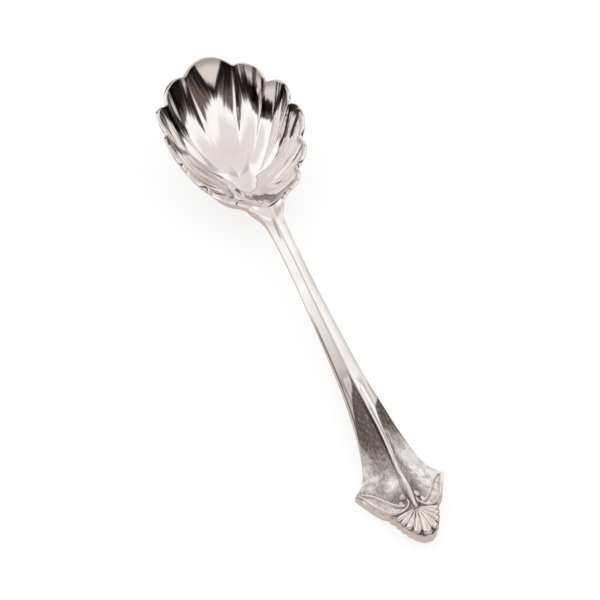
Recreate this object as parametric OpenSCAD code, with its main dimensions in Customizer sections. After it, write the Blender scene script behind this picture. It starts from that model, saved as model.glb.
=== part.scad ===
// Shell-bowl sugar spoon: a fluted pressed bowl brazed to a cast handle with applied ornament.
// X runs from the bowl to the handle's end, Y is across and Z is up from the table.

/* [Overall] */
// Whole length from the tip lobe to the handle's end
spoon_length = 150; // [140:1:160]

/* [Bowl] */
// Length of the bowl's mouth from the tip notches' line to the heel
mouth_length = 44.7; // [42:0.1:49]
// Width of the mouth between the notches of its widest pair
mouth_width = 30.4; // [28:0.1:33]
// Height of the mouth's edge at the tip above the bowl's floor
mouth_rise = 17.9; // [15:0.1:20]
// Thickness of the pressed sheet
bowl_wall = 1.1; // [0.9:0.05:1.4]
// How far the largest lobe reaches past its two notches, in plan
lobe_reach = 1.3; // [0.9:0.1:1.7]
// How far the largest lobe's flute is pressed outwards
flute_depth = 1.1; // [0.7:0.1:1.4]

/* [Handle] */
// Width of the stem at its narrowest
stem_width = 4.3; // [3.8:0.1:5]
// Width of the heel where the stem meets the bowl
heel_width = 8.6; // [8:0.1:10]
// Height of the stem's side wall where it is thickest
side_wall = 2.6; // [2.2:0.1:3]
// Depth of the rounded belly under the stem
belly_depth = 0.9; // [0.5:0.05:1.2]
// Height of the ridge above the stem's side edges
ridge_height = 0.45; // [0.3:0.05:0.8]
// Drop from the bowl's edge to the stem's lower edge at the heel
heel_drop = 2.2; // [1.8:0.1:2.8]

/* [Terminal] */
// Width across the two corners
terminal_width = 21.4; // [19:0.1:23]
// Rise of the terminal's middle above its corners
tent_height = 3.35; // [2.6:0.05:4]
// Depth of the hollow in each grained field
field_depth = 0.55; // [0.3:0.05:0.8]
// Height of the raised middle rib
rib_height = 1.05; // [0.7:0.05:1.4]
// Width of the raised middle rib
rib_width = 1.1; // [0.8:0.05:1.5]
// Width of the flat land that rests on the table under the corners
land_width = 2.5; // [1.5:0.1:3.5]

/* [Ornament] */
// Height of the palmette's fingers above the terminal
palmette_height = 0.95; // [0.6:0.05:1.3]
// Number of fingers in the palmette
finger_count = 9; // [7:2:11]
// Height of the leaf scrolls above the terminal
scroll_height = 0.9; // [0.6:0.05:1.2]
// Width of a leaf scroll at its middle
scroll_width = 3.1; // [2.4:0.1:3.6]

/* [Joints] */
// Clearance between pieces that are soldered face to face
solder_gap = 0.08; // [0.06:0.01:0.12]
// Thickness of the solder film under the heel
solder_film = 0.22; // [0.15:0.01:0.3]
// How far the solder shows beyond the heel
solder_margin = 0.7; // [0.4:0.1:1]

/* [Hidden] */

// Steps of the bowl's mesh: columns in a side lobe, in the tip lobe and at the heel, and rows
lobe_steps = 8;
tip_steps = 10;
heel_steps = 8;
bowl_rows = 13;
// Knots of the mouth's outline on one side, tip to heel: share of its length and of its half width
mouth_shares = [
    [0, 0], [0.018, 0.4], [0.148, 0.825], [0.343, 1], [0.577, 0.935], [0.731, 0.715], [0.88, 0.42],
    [1, 0]];
// Height of the mouth's edge at the same knots, as a share of the rise at the tip
mouth_rise_shares = [1, 0.972, 0.815, 0.777, 0.637, 0.515, 0.53, 0.58];
// Power by which the wall climbs from the floor at the same knots
wall_power_shares = [2.1, 1.8, 2.6, 2.75, 2.7, 2.4, 2.8, 3];
// Reach and flute depth of the lobes from the tip lobe to the heel, as shares of the largest
lobe_reach_shares = [1, 0.77, 0.85, 0.85, 0.9, 0.75];
flute_depth_shares = [0.78, 0.9, 1, 0.7, 0.4, 0.6];
// Place of the flutes' common centre along the mouth
flute_centre_share = 0.51;
// Shares of the way to the edge at which the flutes start and are full
flute_start_share = 0.22;
flute_full_share = 0.85;
// Half angle of a lobe's arc
lobe_arc = 62;
// Share of the wall by which the edge is rounded
edge_round_share = 0.22;

// Stations along the handle, heel to end
station_shares = [
    0.012, 0.022, 0.037, 0.057, 0.086, 0.126, 0.175, 0.234, 0.293, 0.352, 0.411, 0.46, 0.509, 0.538,
    0.568, 0.597, 0.627, 0.656, 0.686, 0.71, 0.735, 0.754, 0.774, 0.794];
point_station_shares = [0.09, 0.2, 0.32, 0.44, 0.56, 0.68, 0.79, 0.88, 0.94, 0.98, 1];
// Place of the terminal's corners along the handle
corner_share = 0.828;
// Extra width of the heel over the stem, down the handle
heel_flare_shares = [
    [0, 1], [0.012, 0.22], [0.022, 0.16], [0.04, 0.1], [0.06, 0.05], [0.085, 0.02], [0.13, 0],
    [1, 0]];
// Flare from the stem to the corners, as a share of the difference in width
terminal_flare_shares = [
    [0, 0], [0.214, 0.005], [0.312, 0.025], [0.411, 0.055], [0.509, 0.095], [0.568, 0.14],
    [0.627, 0.205], [0.686, 0.287], [0.735, 0.4], [0.774, 0.53], [0.803, 0.7], [0.828, 1]];
// Half width of the point beyond the corners, as a share of the corners'
point_width_shares = [
    [0, 1], [0.19, 0.86], [0.38, 0.71], [0.49, 0.575], [0.56, 0.52], [0.75, 0.4], [0.88, 0.28],
    [0.96, 0.16], [1, 0.08]];
// Height of the lower edge, as a share of its height at the heel
under_shares = [
    [0, 0.93], [0.023, 0.97], [0.057, 1], [0.116, 0.99], [0.214, 0.91], [0.312, 0.8], [0.411, 0.68],
    [0.509, 0.545], [0.587, 0.45], [0.666, 0.32], [0.725, 0.19], [0.764, 0.09], [0.8, 0],
    [0.828, 0], [0.84, 0.01], [0.872, 0.04], [0.912, 0.08], [0.951, 0.12], [1, 0.16]];
// Height of the side wall, as a share of the thickest
side_shares = [
    [0, 0.9], [0.023, 0.75], [0.057, 0.5], [0.116, 0.38], [0.25, 0.36], [0.312, 0.42],
    [0.411, 0.56], [0.509, 0.73], [0.587, 0.87], [0.666, 0.97], [0.725, 0.95], [0.764, 0.87],
    [0.806, 0.74], [0.83, 0.6], [0.872, 0.72], [0.912, 0.86], [0.951, 0.96], [1, 1.04]];
// Depth of the belly under the stem
belly_shares = [
    [0, 1.35], [0.057, 1.15], [0.116, 1], [0.312, 0.85], [0.509, 0.6], [0.666, 0.25], [0.764, 0],
    [1, 0]];
// Height of the ridge, which gives way to the terminal's tent
ridge_shares = [
    [0, 0.8], [0.116, 1], [0.509, 1], [0.587, 0.6], [0.666, 0], [1, 0]];
// Rise of the terminal's tent above the side edges
tent_shares = [
    [0, 0], [0.509, 0], [0.55, 0.04], [0.587, 0.13], [0.627, 0.28], [0.666, 0.45], [0.705, 0.63],
    [0.745, 0.78], [0.784, 0.9], [0.83, 1], [0.872, 0.8], [0.912, 0.55], [0.951, 0.3], [1, 0.06]];
// Height and half width of the middle rib, which swells to a bud before its end
rib_shares = [
    [0, 0], [0.52, 0], [0.56, 0.3], [0.6, 0.65], [0.65, 0.9], [0.7, 1], [0.82, 1], [0.86, 1.2],
    [0.89, 0.95], [0.92, 0.4], [0.935, 0], [1, 0]];
rib_width_shares = [
    [0, 2.4], [0.52, 2.6], [0.56, 2.2], [0.6, 1.6], [0.65, 1.05], [0.7, 0.9], [0.8, 1],
    [0.83, 1.25], [0.865, 2.1], [0.89, 1.5], [0.92, 0.8], [0.935, 0.6], [1, 0.5]];
// Depth of the grained fields
field_shares = [
    [0, 0], [0.52, 0], [0.58, 0.5], [0.64, 1], [0.8, 1], [0.87, 0.7], [0.92, 0.3], [0.95, 0],
    [1, 0]];
// Places across the handle: on the rib, and from the rib to the side edge
rib_place_shares = [0.5, 0.82, 1];
field_place_shares = [0.14, 0.3, 0.47, 0.64, 0.8, 0.92, 1];
// How far the heel's cap reaches down the bowl's wall, at the middle and at its sides
cap_depth_shares = [0.2, 0.09];
// Reach of the heel's cap along the mouth's outline, in knots
cap_reach_share = 0.62;

// Place of the palmette's centre along the handle, and its inner radius as a share of the way to the end
palmette_centre_share = 0.917;
palmette_inner_share = 0.07;
// Half angle of the palmette's fan
palmette_spread = 96;
// Steps of the palmette's mesh, outwards and across a finger
palmette_rows = 7;
finger_steps = 6;
// Strip left plain between the ornament and the terminal's edge
ornament_margin = 0.35;
// Height of the ornament's edges and of the fingers' roots, as shares of the full height
ornament_edge_share = 0.18;
root_height_share = 0.35;
// Knots of a leaf scroll's middle line, along the handle and across as shares of the half width
scroll_path_shares = [[0.842, 0.86], [0.868, 0.7], [0.893, 0.5], [0.909, 0.3], [0.917, 0.14]];
scroll_width_shares = [0.16, 0.82, 1, 0.8, 0.3];
scroll_steps = 18;
scroll_across_shares = [-1, -0.8, -0.5, 0, 0.5, 0.8, 1];
scroll_relief_shares = [0.3, 1, 0.75, 0.35, 0.75, 1, 0.3];

// Smooth curves through lists of knots
function spline(a, b, c, d, u) =
    b + u / 2 * (c - a + u * (2 * a - 5 * b + 4 * c - d + u * (3 * (b - c) + d - a)));
function spline_slope(a, b, c, d, u) =
    (c - a + u * (2 * (2 * a - 5 * b + 4 * c - d) + 3 * u * (3 * (b - c) + d - a))) / 2;
function ring_knot(list, i) = list[(i + 2 * len(list)) % len(list)];
function open_knot(list, i) = list[max(0, min(len(list) - 1, i))];
function on_ring(list, s) =
    let(i = floor(s))
    spline(
        ring_knot(list, i - 1), ring_knot(list, i),
        ring_knot(list, i + 1), ring_knot(list, i + 2), s - i);
function ring_slope(list, s) =
    let(i = floor(s))
    spline_slope(
        ring_knot(list, i - 1), ring_knot(list, i),
        ring_knot(list, i + 1), ring_knot(list, i + 2), s - i);
function on_path(list, s) =
    let(i = min(floor(s), len(list) - 2))
    spline(
        open_knot(list, i - 1), open_knot(list, i),
        open_knot(list, i + 1), open_knot(list, i + 2), s - i);
function interval(table, x, i = 0) =
    (i >= len(table) - 2 || x < table[i + 1][0]) ? i : interval(table, x, i + 1);
function secant(table, i) =
    let(k = max(0, min(len(table) - 2, i)))
    (table[k + 1][1] - table[k][1]) / (table[k + 1][0] - table[k][0]);
function knot_slope(table, i) =
    let(a = secant(table, i - 1), b = secant(table, i))
    a * b <= 0 ? 0 : 2 * a * b / (a + b);
// Value of a table at x, by cubic pieces that never overshoot the knots
function curve(table, x) =
    let(
        i = interval(table, x),
        w = table[i + 1][0] - table[i][0],
        u = max(0, min(1, (x - table[i][0]) / w)),
        h = u * u * (3 - 2 * u)
    )
    table[i][1] * (1 - h) + table[i + 1][1] * h
        + w * u * (1 - u) * ((1 - u) * knot_slope(table, i) - u * knot_slope(table, i + 1));
function smooth_step(a, b, x) = let(u = max(0, min(1, (x - a) / (b - a)))) u * u * (3 - 2 * u);
function unit(v) = v / norm(v);
function flat(lists) = [for (list = lists) each list];

// Mouth of the bowl: its outline, edge heights and wall powers as closed rings of knots
side_knots = len(mouth_shares) - 1;
ring_knots = 2 * side_knots;
function mirrored(list) = concat(list, [for (i = [side_knots - 1:-1:1]) list[i]]);
mouth_ring = [for (i = [0:ring_knots - 1])
    let(k = i <= side_knots ? i : ring_knots - i, side = i <= side_knots ? 1 : -1)
    [mouth_shares[k][0] * mouth_length, side * mouth_shares[k][1] * mouth_width / 2]];
rise_ring = mirrored(mouth_rise_shares) * mouth_rise;
power_ring = mirrored(wall_power_shares);
flute_centre = [flute_centre_share * mouth_length, 0];

// Lobe under a place on the ring, its arch there from 0 at a notch to 1 at the lobe's middle
function folded(s) = s <= side_knots ? s : ring_knots - s;
function lobe_at(s) = min(floor(folded(s)), side_knots - 1);
function across_lobe(s) = folded(s) < 1 ? folded(s) : 2 * (folded(s) - floor(folded(s))) - 1;
function arch(u) = (cos(asin(min(1, abs(u)) * sin(lobe_arc))) - cos(lobe_arc)) / (1 - cos(lobe_arc));
function lobe_arch(s) = folded(s) >= side_knots - 1 ? 0 : arch(across_lobe(s));
function lobe_reach_at(s) = lobe_reach * lobe_reach_shares[min(lobe_at(s), side_knots - 2)] * lobe_arch(s);
function flute_at(s, t) =
    flute_depth * flute_depth_shares[min(lobe_at(s), side_knots - 2)] * lobe_arch(s)
        * smooth_step(flute_start_share, flute_full_share, t);

// Outward normal of the plain bowl under ring place s at share t of the way out
function bowl_normal(s, t) =
    let(
        out = on_ring(mouth_ring, s) - flute_centre,
        slope = ring_slope(mouth_ring, s),
        side = unit([-slope[1], slope[0]]),
        power = on_ring(power_ring, s),
        steep = power * on_ring(rise_ring, s) * pow(t, power - 1) / (out * side)
    )
    unit([steep * side[0], steep * side[1], -1]);
// Point of the sheet: lift 0 is its inner face, and lift counts outwards
function shell(s, t, lift) =
    let(
        out = on_ring(mouth_ring, s) - flute_centre,
        reach = t * (1 + lobe_reach_at(s) / norm(out)),
        plan = flute_centre + reach * out,
        height = on_ring(rise_ring, s) * pow(reach, on_ring(power_ring, s))
    )
    [plan[0], plan[1], height] + bowl_normal(s, t) * (flute_at(s, t) + lift);
// Places on the ring of the mesh's columns
ring_places = concat(
    [for (k = [0:tip_steps / 2 - 1]) 2 * k / tip_steps],
    [for (i = [1:side_knots - 2], k = [0:lobe_steps - 1]) i + k / lobe_steps],
    [for (k = [0:heel_steps - 1]) side_knots - 1 + 2 * k / heel_steps],
    [for (i = [side_knots + 1:ring_knots - 2], k = [0:lobe_steps - 1]) i + k / lobe_steps],
    [for (k = [0:tip_steps / 2 - 1]) ring_knots - 1 + 2 * k / tip_steps]);
columns = len(ring_places);

// The bowl is shifted so that it stands on the table and the whole spoon is centred
outer_points = [for (j = [1:bowl_rows], s = ring_places) shell(s, j / bowl_rows, bowl_wall)];
bowl_lift = -min(concat([-bowl_wall], [for (p = outer_points) p[2]]));
edge_reach_share = 1 + edge_round_share * bowl_wall / mouth_width;
edge_points = [for (s = ring_places) shell(s, edge_reach_share, bowl_wall / 2)];
bowl_tip = min([for (p = concat(outer_points, edge_points)) p[0]]);
bowl_place = [-bowl_tip - spoon_length / 2, 0, bowl_lift];
function placed(points) = [for (p = points) p + bowl_place];

// Handle frame: heel at the bowl's edge, share f from 0 there to 1 at the end
heel_start = shell(side_knots, 1, bowl_wall)[0] + bowl_place[0];
handle_length = spoon_length / 2 - heel_start;
neck_height = shell(side_knots, 1, bowl_wall)[2] + bowl_lift;
under_height = neck_height - heel_drop;
land_start_share = corner_share - land_width / handle_length;
function half_width(f) =
    f <= corner_share
        ? stem_width / 2 + (heel_width - stem_width) / 2 * curve(heel_flare_shares, f)
            + (terminal_width - stem_width) / 2 * curve(terminal_flare_shares, f)
        : terminal_width / 2 * curve(point_width_shares, (f - corner_share) / (1 - corner_share));
function on_land(f) = f >= land_start_share && f <= corner_share;
function lower_edge(f) = on_land(f) ? 0 : under_height * curve(under_shares, f);
function upper_edge(f) = lower_edge(f) + side_wall * curve(side_shares, f);
function rib_half(f) = min(rib_width / 2 * curve(rib_width_shares, f), 0.6 * half_width(f));
function rib_profile(a) = 1 - pow(min(1, a), 3);
// Top of the handle at share f and distance y from its middle line
function top_height(f, y) =
    let(
        half = half_width(f),
        a = min(1, abs(y) / half),
        rib = rib_half(f),
        q = max(0, min(1, (abs(y) - rib) / (half - rib))),
        tent = tent_height * curve(tent_shares, f) + ridge_height * curve(ridge_shares, f)
    )
    upper_edge(f) + tent * (1 - a) - field_depth * curve(field_shares, f) * 4 * q * (1 - q)
        + rib_height * curve(rib_shares, f) * rib_profile(abs(y) / rib);
function under_height_at(f, y) =
    lower_edge(f) - belly_depth * curve(belly_shares, f) * (1 - pow(min(1, abs(y) / half_width(f)), 2));
function along(f) = heel_start + f * handle_length;

// Places across a section, left to right
function half_places(f) = let(rib = rib_half(f), rest = half_width(f) - rib)
    concat([for (a = rib_place_shares) a * rib], [for (a = field_place_shares) rib + a * rest]);
function places(f) = let(half = half_places(f))
    concat([for (i = [len(half) - 1:-1:0]) -half[i]], [0], half);
place_count = 2 * (len(rib_place_shares) + len(field_place_shares)) + 1;

// A section is a closed loop: the top from left to right, the middle of the right wall,
// the bottom and the middle of the left wall
function section(f) =
    let(y = places(f), top = [for (v = y) [along(f), v, top_height(f, v)]],
        low = [for (i = [place_count - 1:-1:0]) [along(f), y[i], under_height_at(f, y[i])]])
    concat(top, [(top[place_count - 1] + low[0]) / 2], low, [(top[0] + low[place_count - 1]) / 2]);

// The heel's cap follows the bowl's outer face
cap_lift = bowl_wall + 2 * solder_gap + solder_film;
heel_half_places = places(0) / half_width(0);
function cap_drop(a) = cap_depth_shares[0] + (cap_depth_shares[1] - cap_depth_shares[0]) * a * a;
function cap_point(a, d) =
    shell(side_knots - cap_reach_share * a, 1 - d * cap_drop(a), cap_lift) + bowl_place;
function cap_row(d) = [for (a = heel_half_places) cap_point(a, d)];
cap_section =
    let(top = cap_row(0), middle = cap_row(0.5), low = cap_row(1))
    concat(top, [middle[place_count - 1]], [for (i = [place_count - 1:-1:0]) low[i]], [middle[0]]);

// Skins: quads split in two, from rows of points
function quad(a, b, c, d) = [[a, b, c], [a, c, d]];
function tube_faces(rows, n, turned = false) = flat([for (i = [0:rows - 2], k = [0:n - 1])
    let(a = i * n + k, b = i * n + (k + 1) % n, c = b + n, d = a + n)
    turned ? quad(a, d, c, b) : quad(a, b, c, d)]);
function sheet_faces(rows, n, first, turned) = flat([for (i = [0:rows - 2], k = [0:n - 2])
    let(a = first + i * n + k, b = a + 1, c = b + n, d = a + n)
    turned ? quad(a, d, c, b) : quad(a, b, c, d)]);
// Rim of a sheet of rows by n points, as indices in a loop
function rim_loop(rows, n) = concat(
    [for (k = [0:n - 2]) k],
    [for (i = [0:rows - 2]) i * n + n - 1],
    [for (k = [n - 1:-1:1]) (rows - 1) * n + k],
    [for (i = [rows - 1:-1:1]) i * n]);

// Closed slab between two sheets of the same rows and columns
module slab(upper, lower) {
    rows = len(upper);
    n = len(upper[0]);
    total = rows * n;
    loop = rim_loop(rows, n);
    count = len(loop);
    polyhedron(
        points = concat(flat(upper), flat(lower)),
        faces = concat(
            sheet_faces(rows, n, 0, false),
            sheet_faces(rows, n, total, true),
            flat([for (k = [0:count - 1])
                let(a = loop[k], b = loop[(k + 1) % count])
                quad(a, a + total, b + total, b)])),
        convexity = 6);
}

module bowl() {
    inner = flat([for (j = [1:bowl_rows]) [for (s = ring_places) shell(s, j / bowl_rows, 0)]]);
    round_edge = edge_points;
    outer = flat([for (j = [bowl_rows:-1:1]) [for (s = ring_places) shell(s, j / bowl_rows, bowl_wall)]]);
    rows = 2 * bowl_rows + 1;
    inner_pole = rows * columns;
    outer_pole = inner_pole + 1;
    last_row = (rows - 1) * columns;
    color("silver")
    polyhedron(
        points = placed(concat(inner, round_edge, outer,
            [[flute_centre[0], 0, 0], [flute_centre[0], 0, -bowl_wall]])),
        faces = concat(
            tube_faces(rows, columns, true),
            [for (k = [0:columns - 1]) [inner_pole, k, (k + 1) % columns]],
            [for (k = [0:columns - 1]) [outer_pole, last_row + (k + 1) % columns, last_row + k]]),
        convexity = 12);
}

module handle() {
    stem_sections = [for (f = station_shares) section(f)];
    land_sections = [section(land_start_share), section(corner_share)];
    point_sections = [for (p = point_station_shares) section(corner_share + p * (1 - corner_share))];
    sections = concat([cap_section], stem_sections, land_sections, point_sections);
    rows = len(sections);
    n = len(cap_section);
    middle = cap_row(0.5);
    inner_count = place_count - 2;
    first_inner = rows * n;
    // Indices of the cap's three rows
    top_row = [for (j = [0:place_count - 1]) j];
    low_row = [for (j = [0:place_count - 1]) 2 * place_count - j];
    middle_row = concat([n - 1], [for (j = [0:inner_count - 1]) first_inner + j], [place_count]);
    color("gainsboro")
    polyhedron(
        points = concat(flat(sections), [for (j = [1:place_count - 2]) middle[j]]),
        faces = concat(
            tube_faces(rows, n),
            flat([for (j = [0:place_count - 2]) concat(
                quad(top_row[j], middle_row[j], middle_row[j + 1], top_row[j + 1]),
                quad(middle_row[j], low_row[j], low_row[j + 1], middle_row[j + 1]))]),
            [[for (k = [0:n - 1]) (rows - 1) * n + k]]),
        convexity = 8);
}

module solder_seam() {
    side_margin = solder_margin / (heel_width / 2);
    depth_margin = solder_margin / mouth_length;
    steps = 16;
    depth_steps = 6;
    function film(i, k) = (i == 0 || i == steps || k == depth_steps) ? solder_film / 4 : solder_film;
    function place(i, k, lift) =
        let(
            a = (2 * i / steps - 1) * (1 + side_margin),
            d = k / depth_steps,
            drop = cap_drop(min(1, abs(a))) + 2 * depth_margin
        )
        shell(side_knots - cap_reach_share * a, 1 - d * drop, lift) + bowl_place;
    color("lightgray")
    slab(
        [for (k = [0:depth_steps]) [for (i = [0:steps]) place(i, k, bowl_wall + solder_gap + film(i, k))]],
        [for (k = [0:depth_steps]) [for (i = [0:steps]) place(i, k, bowl_wall + solder_gap)]]);
}

// Point over the terminal at share f and distance y, raised by lift
function over_terminal(f, y, lift) = [along(f), y, top_height(f, y) + solder_gap + lift];
function edge_inset(f) = half_width(f) - ornament_margin;

module palmette() {
    steps = finger_count * finger_steps;
    centre = palmette_centre_share;
    // Longest ray from the centre at an angle that stays inside the terminal's edge
    function ray(angle, low = 0, high = 1, n = 12) =
        let(
            r = (low + high) / 2,
            f = centre + r * (1 - centre) * cos(angle),
            y = r * (1 - centre) * handle_length * sin(angle)
        )
        n == 0 ? low : (f <= 1 - ornament_margin / handle_length && abs(y) <= edge_inset(min(1, f)))
            ? ray(angle, r, high, n - 1) : ray(angle, low, r, n - 1);
    function wave(i) = let(u = (i % finger_steps) / finger_steps) sqrt(sin(180 * u));
    function angle(i) = palmette_spread * (2 * i / steps - 1);
    function place(i, j, lift) =
        let(
            u = j / palmette_rows,
            reach = ray(angle(i)) * (0.8 + 0.2 * wave(i)),
            r = (palmette_inner_share + (reach - palmette_inner_share) * u) * (1 - centre),
            f = centre + r * cos(angle(i)),
            y = r * handle_length * sin(angle(i)),
            crown = j == palmette_rows ? 0 : (root_height_share + (1 - root_height_share) * u) * wave(i),
            swell = ornament_edge_share + (1 - ornament_edge_share) * crown
        )
        over_terminal(f, y, lift * palmette_height * swell);
    color("whitesmoke")
    slab(
        [for (j = [0:palmette_rows]) [for (i = [0:steps]) place(i, j, 1)]],
        [for (j = [0:palmette_rows]) [for (i = [0:steps]) place(i, j, 0)]]);
}

module leaf_scroll(side) {
    last = len(scroll_path_shares) - 1;
    path = [for (p = scroll_path_shares) [p[0] * handle_length, p[1] * terminal_width / 2]];
    function place(i, k, lift) =
        let(
            s = i / scroll_steps * last,
            middle = on_path(path, s),
            ahead = unit(on_path(path, min(last, s + 0.01)) - on_path(path, max(0, s - 0.01))),
            half = scroll_width / 2 * on_path(scroll_width_shares, s) * scroll_across_shares[k],
            p = middle + half * [-ahead[1], ahead[0]]
        )
        over_terminal(p[0] / handle_length, side * p[1], lift * scroll_height * scroll_relief_shares[k]);
    upper = [for (i = [0:scroll_steps]) [for (k = [0:len(scroll_across_shares) - 1]) place(i, k, 1)]];
    lower = [for (i = [0:scroll_steps]) [for (k = [0:len(scroll_across_shares) - 1]) place(i, k, 0)]];
    slab(side > 0 ? upper : [for (row = upper) [for (k = [len(row) - 1:-1:0]) row[k]]],
        side > 0 ? lower : [for (row = lower) [for (k = [len(row) - 1:-1:0]) row[k]]]);
}

module left_leaf_scroll() {
    color("whitesmoke") leaf_scroll(-1);
}

module right_leaf_scroll() {
    color("whitesmoke") leaf_scroll(1);
}

bowl();
handle();
solder_seam();
palmette();
left_leaf_scroll();
right_leaf_scroll();
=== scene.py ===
"""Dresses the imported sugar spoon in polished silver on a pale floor, seen as in the photograph."""

import logging
import math
from dataclasses import dataclass
from enum import Enum, IntEnum
from functools import cache, cached_property
from typing import Callable, Sequence

import bpy
import numpy as np
from mathutils import Matrix, Vector
from mathutils.kdtree import KDTree


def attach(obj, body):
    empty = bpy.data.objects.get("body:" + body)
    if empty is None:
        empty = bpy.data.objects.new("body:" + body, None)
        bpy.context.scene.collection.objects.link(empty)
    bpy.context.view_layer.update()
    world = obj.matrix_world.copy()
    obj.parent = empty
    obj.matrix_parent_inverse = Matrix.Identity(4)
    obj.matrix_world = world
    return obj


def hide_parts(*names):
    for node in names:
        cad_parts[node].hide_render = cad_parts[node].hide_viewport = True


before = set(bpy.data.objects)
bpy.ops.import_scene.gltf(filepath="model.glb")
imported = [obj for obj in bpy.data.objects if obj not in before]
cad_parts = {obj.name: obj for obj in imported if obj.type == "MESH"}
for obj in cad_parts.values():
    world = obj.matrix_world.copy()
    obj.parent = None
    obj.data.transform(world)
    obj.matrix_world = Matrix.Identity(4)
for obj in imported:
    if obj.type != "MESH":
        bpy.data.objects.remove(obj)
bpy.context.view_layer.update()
MM = 0.001
LOG = logging.getLogger("spoon")
SMOOTH_ANGLE = math.radians(38)

Array = np.ndarray
Colour = tuple[float, float, float]
Span = tuple[float, float]
Knots = Sequence[tuple[float, float]]
Piece = bpy.types.Object
Socket = bpy.types.NodeSocket


class Slot(Enum):
    """Material slots of the record."""

    BOWL = "polished_silver"
    HANDLE = "handle_silver"
    SOLDER = "solder"
    ORNAMENT = "ornament_silver"


class Side(IntEnum):
    """Side of the handle's middle line, seen from the end towards the bowl."""

    LEFT = -1
    RIGHT = 1

    @property
    def word(self) -> str:
        """The side's name, as it stands in a piece's name."""
        return self.name.lower()


class Stretch(IntEnum):
    """Stretches of a section of the handle, in the order in which its points go round."""

    LEFT_EDGE = 0
    LEFT_FIELD = 1
    RIB = 2
    RIGHT_FIELD = 3
    RIGHT_EDGE = 4
    RIGHT_WALL = 5
    RIGHT_LOW_EDGE = 6
    UNDERSIDE = 7
    LEFT_LOW_EDGE = 8
    LEFT_WALL = 9


# Shared curves

def smooth_step(low: float, high: float, x: Array) -> Array:
    """Rises smoothly from 0 at low to 1 at high, and falls where high is the smaller."""
    u = np.clip((x - low) / (high - low), 0.0, 1.0)
    return u * u * (3.0 - 2.0 * u)


def curve(knots: Knots, x: Array) -> Array:
    """Reads a table of knots by cubic pieces that never overshoot.

    Args:
        knots: Pairs of place and value, in rising order of place.
        x: Places to read.

    Returns:
        The value at each place.
    """
    table = np.asarray(knots, float)
    place, value = table[:, 0], table[:, 1]
    x = np.asarray(x, float)
    i = np.clip(np.searchsorted(place, x, side="right") - 1, 0, len(place) - 2)
    secants = np.diff(value) / np.diff(place)
    last = len(secants) - 1

    def slope(k: Array) -> Array:
        """Slope at knots k: the harmonic mean of the two secants beside each, or level at a turn."""
        a, b = secants[np.clip(k - 1, 0, last)], secants[np.clip(k, 0, last)]
        return np.where(a * b <= 0, 0.0, 2 * a * b / np.where(a + b == 0, 1.0, a + b))

    width = place[i + 1] - place[i]
    u = np.clip((x - place[i]) / width, 0.0, 1.0)
    h = u * u * (3 - 2 * u)
    bend = width * u * (1 - u) * ((1 - u) * slope(i) - u * slope(i + 1))
    return value[i] * (1 - h) + value[i + 1] * h + bend


def spline_ring(knots: Array, s: Array) -> tuple[Array, Array]:
    """Reads a closed ring of knots as a smooth curve.

    Args:
        knots: Values at whole numbers, one row each.
        s: Places on the ring.

    Returns:
        The values and their slopes.
    """
    s = np.mod(s, len(knots))
    i = np.floor(s).astype(int)
    u = s - i
    a, b, c, d = (knots[(i + k) % len(knots)] for k in (-1, 0, 1, 2))
    if knots.ndim > 1:
        u = u[:, None]
    value = b + u / 2 * (c - a + u * (2 * a - 5 * b + 4 * c - d + u * (3 * (b - c) + d - a)))
    slope = (c - a + u * (2 * (2 * a - 5 * b + 4 * c - d) + 3 * u * (3 * (b - c) + d - a))) / 2
    return value, slope


def spline_path(knots: Sequence, share: Array) -> Array:
    """Reads an open list of knots as a smooth curve through them.

    Args:
        knots: Values or points at even steps.
        share: Shares of the way from the first knot to the last.

    Returns:
        The value or point at each share.
    """
    knots = np.array(knots, float)
    last = len(knots) - 1
    s = share * last
    i = np.clip(np.floor(s).astype(int), 0, last - 1)
    u = s - i
    a, b, c, d = (knots[np.clip(i + k, 0, last)] for k in (-1, 0, 1, 2))
    if knots.ndim > 1:
        u = u[:, None]
    return b + u / 2 * (c - a + u * (2 * a - 5 * b + 4 * c - d + u * (3 * (b - c) + d - a)))


def unit(v: Array) -> Array:
    """Scales each row of v to length 1."""
    return v / np.maximum(np.linalg.norm(v, axis=-1, keepdims=True), 1e-12)


@dataclass(frozen=True)
class Zone:
    """A soft patch in two directions, such as along and across a surface.

    Args:
        strength: Greatest amount.
        steps: Spans of the first direction over which the patch comes in, or goes where one is backwards.
        cross_steps: The same for the second direction.
        peak: Middle and size of a soft peak in the first direction.
        cross_peak: The same for the second direction.
    """

    strength: float
    steps: tuple[Span, ...] = ()
    cross_steps: tuple[Span, ...] = ()
    peak: Span | None = None
    cross_peak: Span | None = None

    def amount(self, along: Array, across: Array) -> Array:
        """Reads the patch.

        Args:
            along: Places in the first direction.
            across: Places in the second direction.

        Returns:
            The amount at each place.
        """
        total = np.full(np.shape(along), self.strength)
        ways = ((along, self.steps, self.peak), (across, self.cross_steps, self.cross_peak))
        for place, steps, peak in ways:
            for low, high in steps:
                total = total * smooth_step(low, high, place)
            if peak:
                total = total * np.exp(-((place - peak[0]) / peak[1]) ** 2)
        return total


# Modelling helpers

def select_none() -> None:
    """Leaves object mode with nothing selected."""
    if bpy.context.object and bpy.context.object.mode != "OBJECT":
        bpy.ops.object.mode_set(mode="OBJECT")
    bpy.ops.object.select_all(action="DESELECT")


def points_of(piece: Piece) -> Array:
    """Reads a piece's points.

    Args:
        piece: The piece to read.

    Returns:
        The points in metres, one row each.
    """
    flat = np.empty(len(piece.data.vertices) * 3)
    piece.data.vertices.foreach_get("co", flat)
    return flat.reshape(-1, 3)


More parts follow.
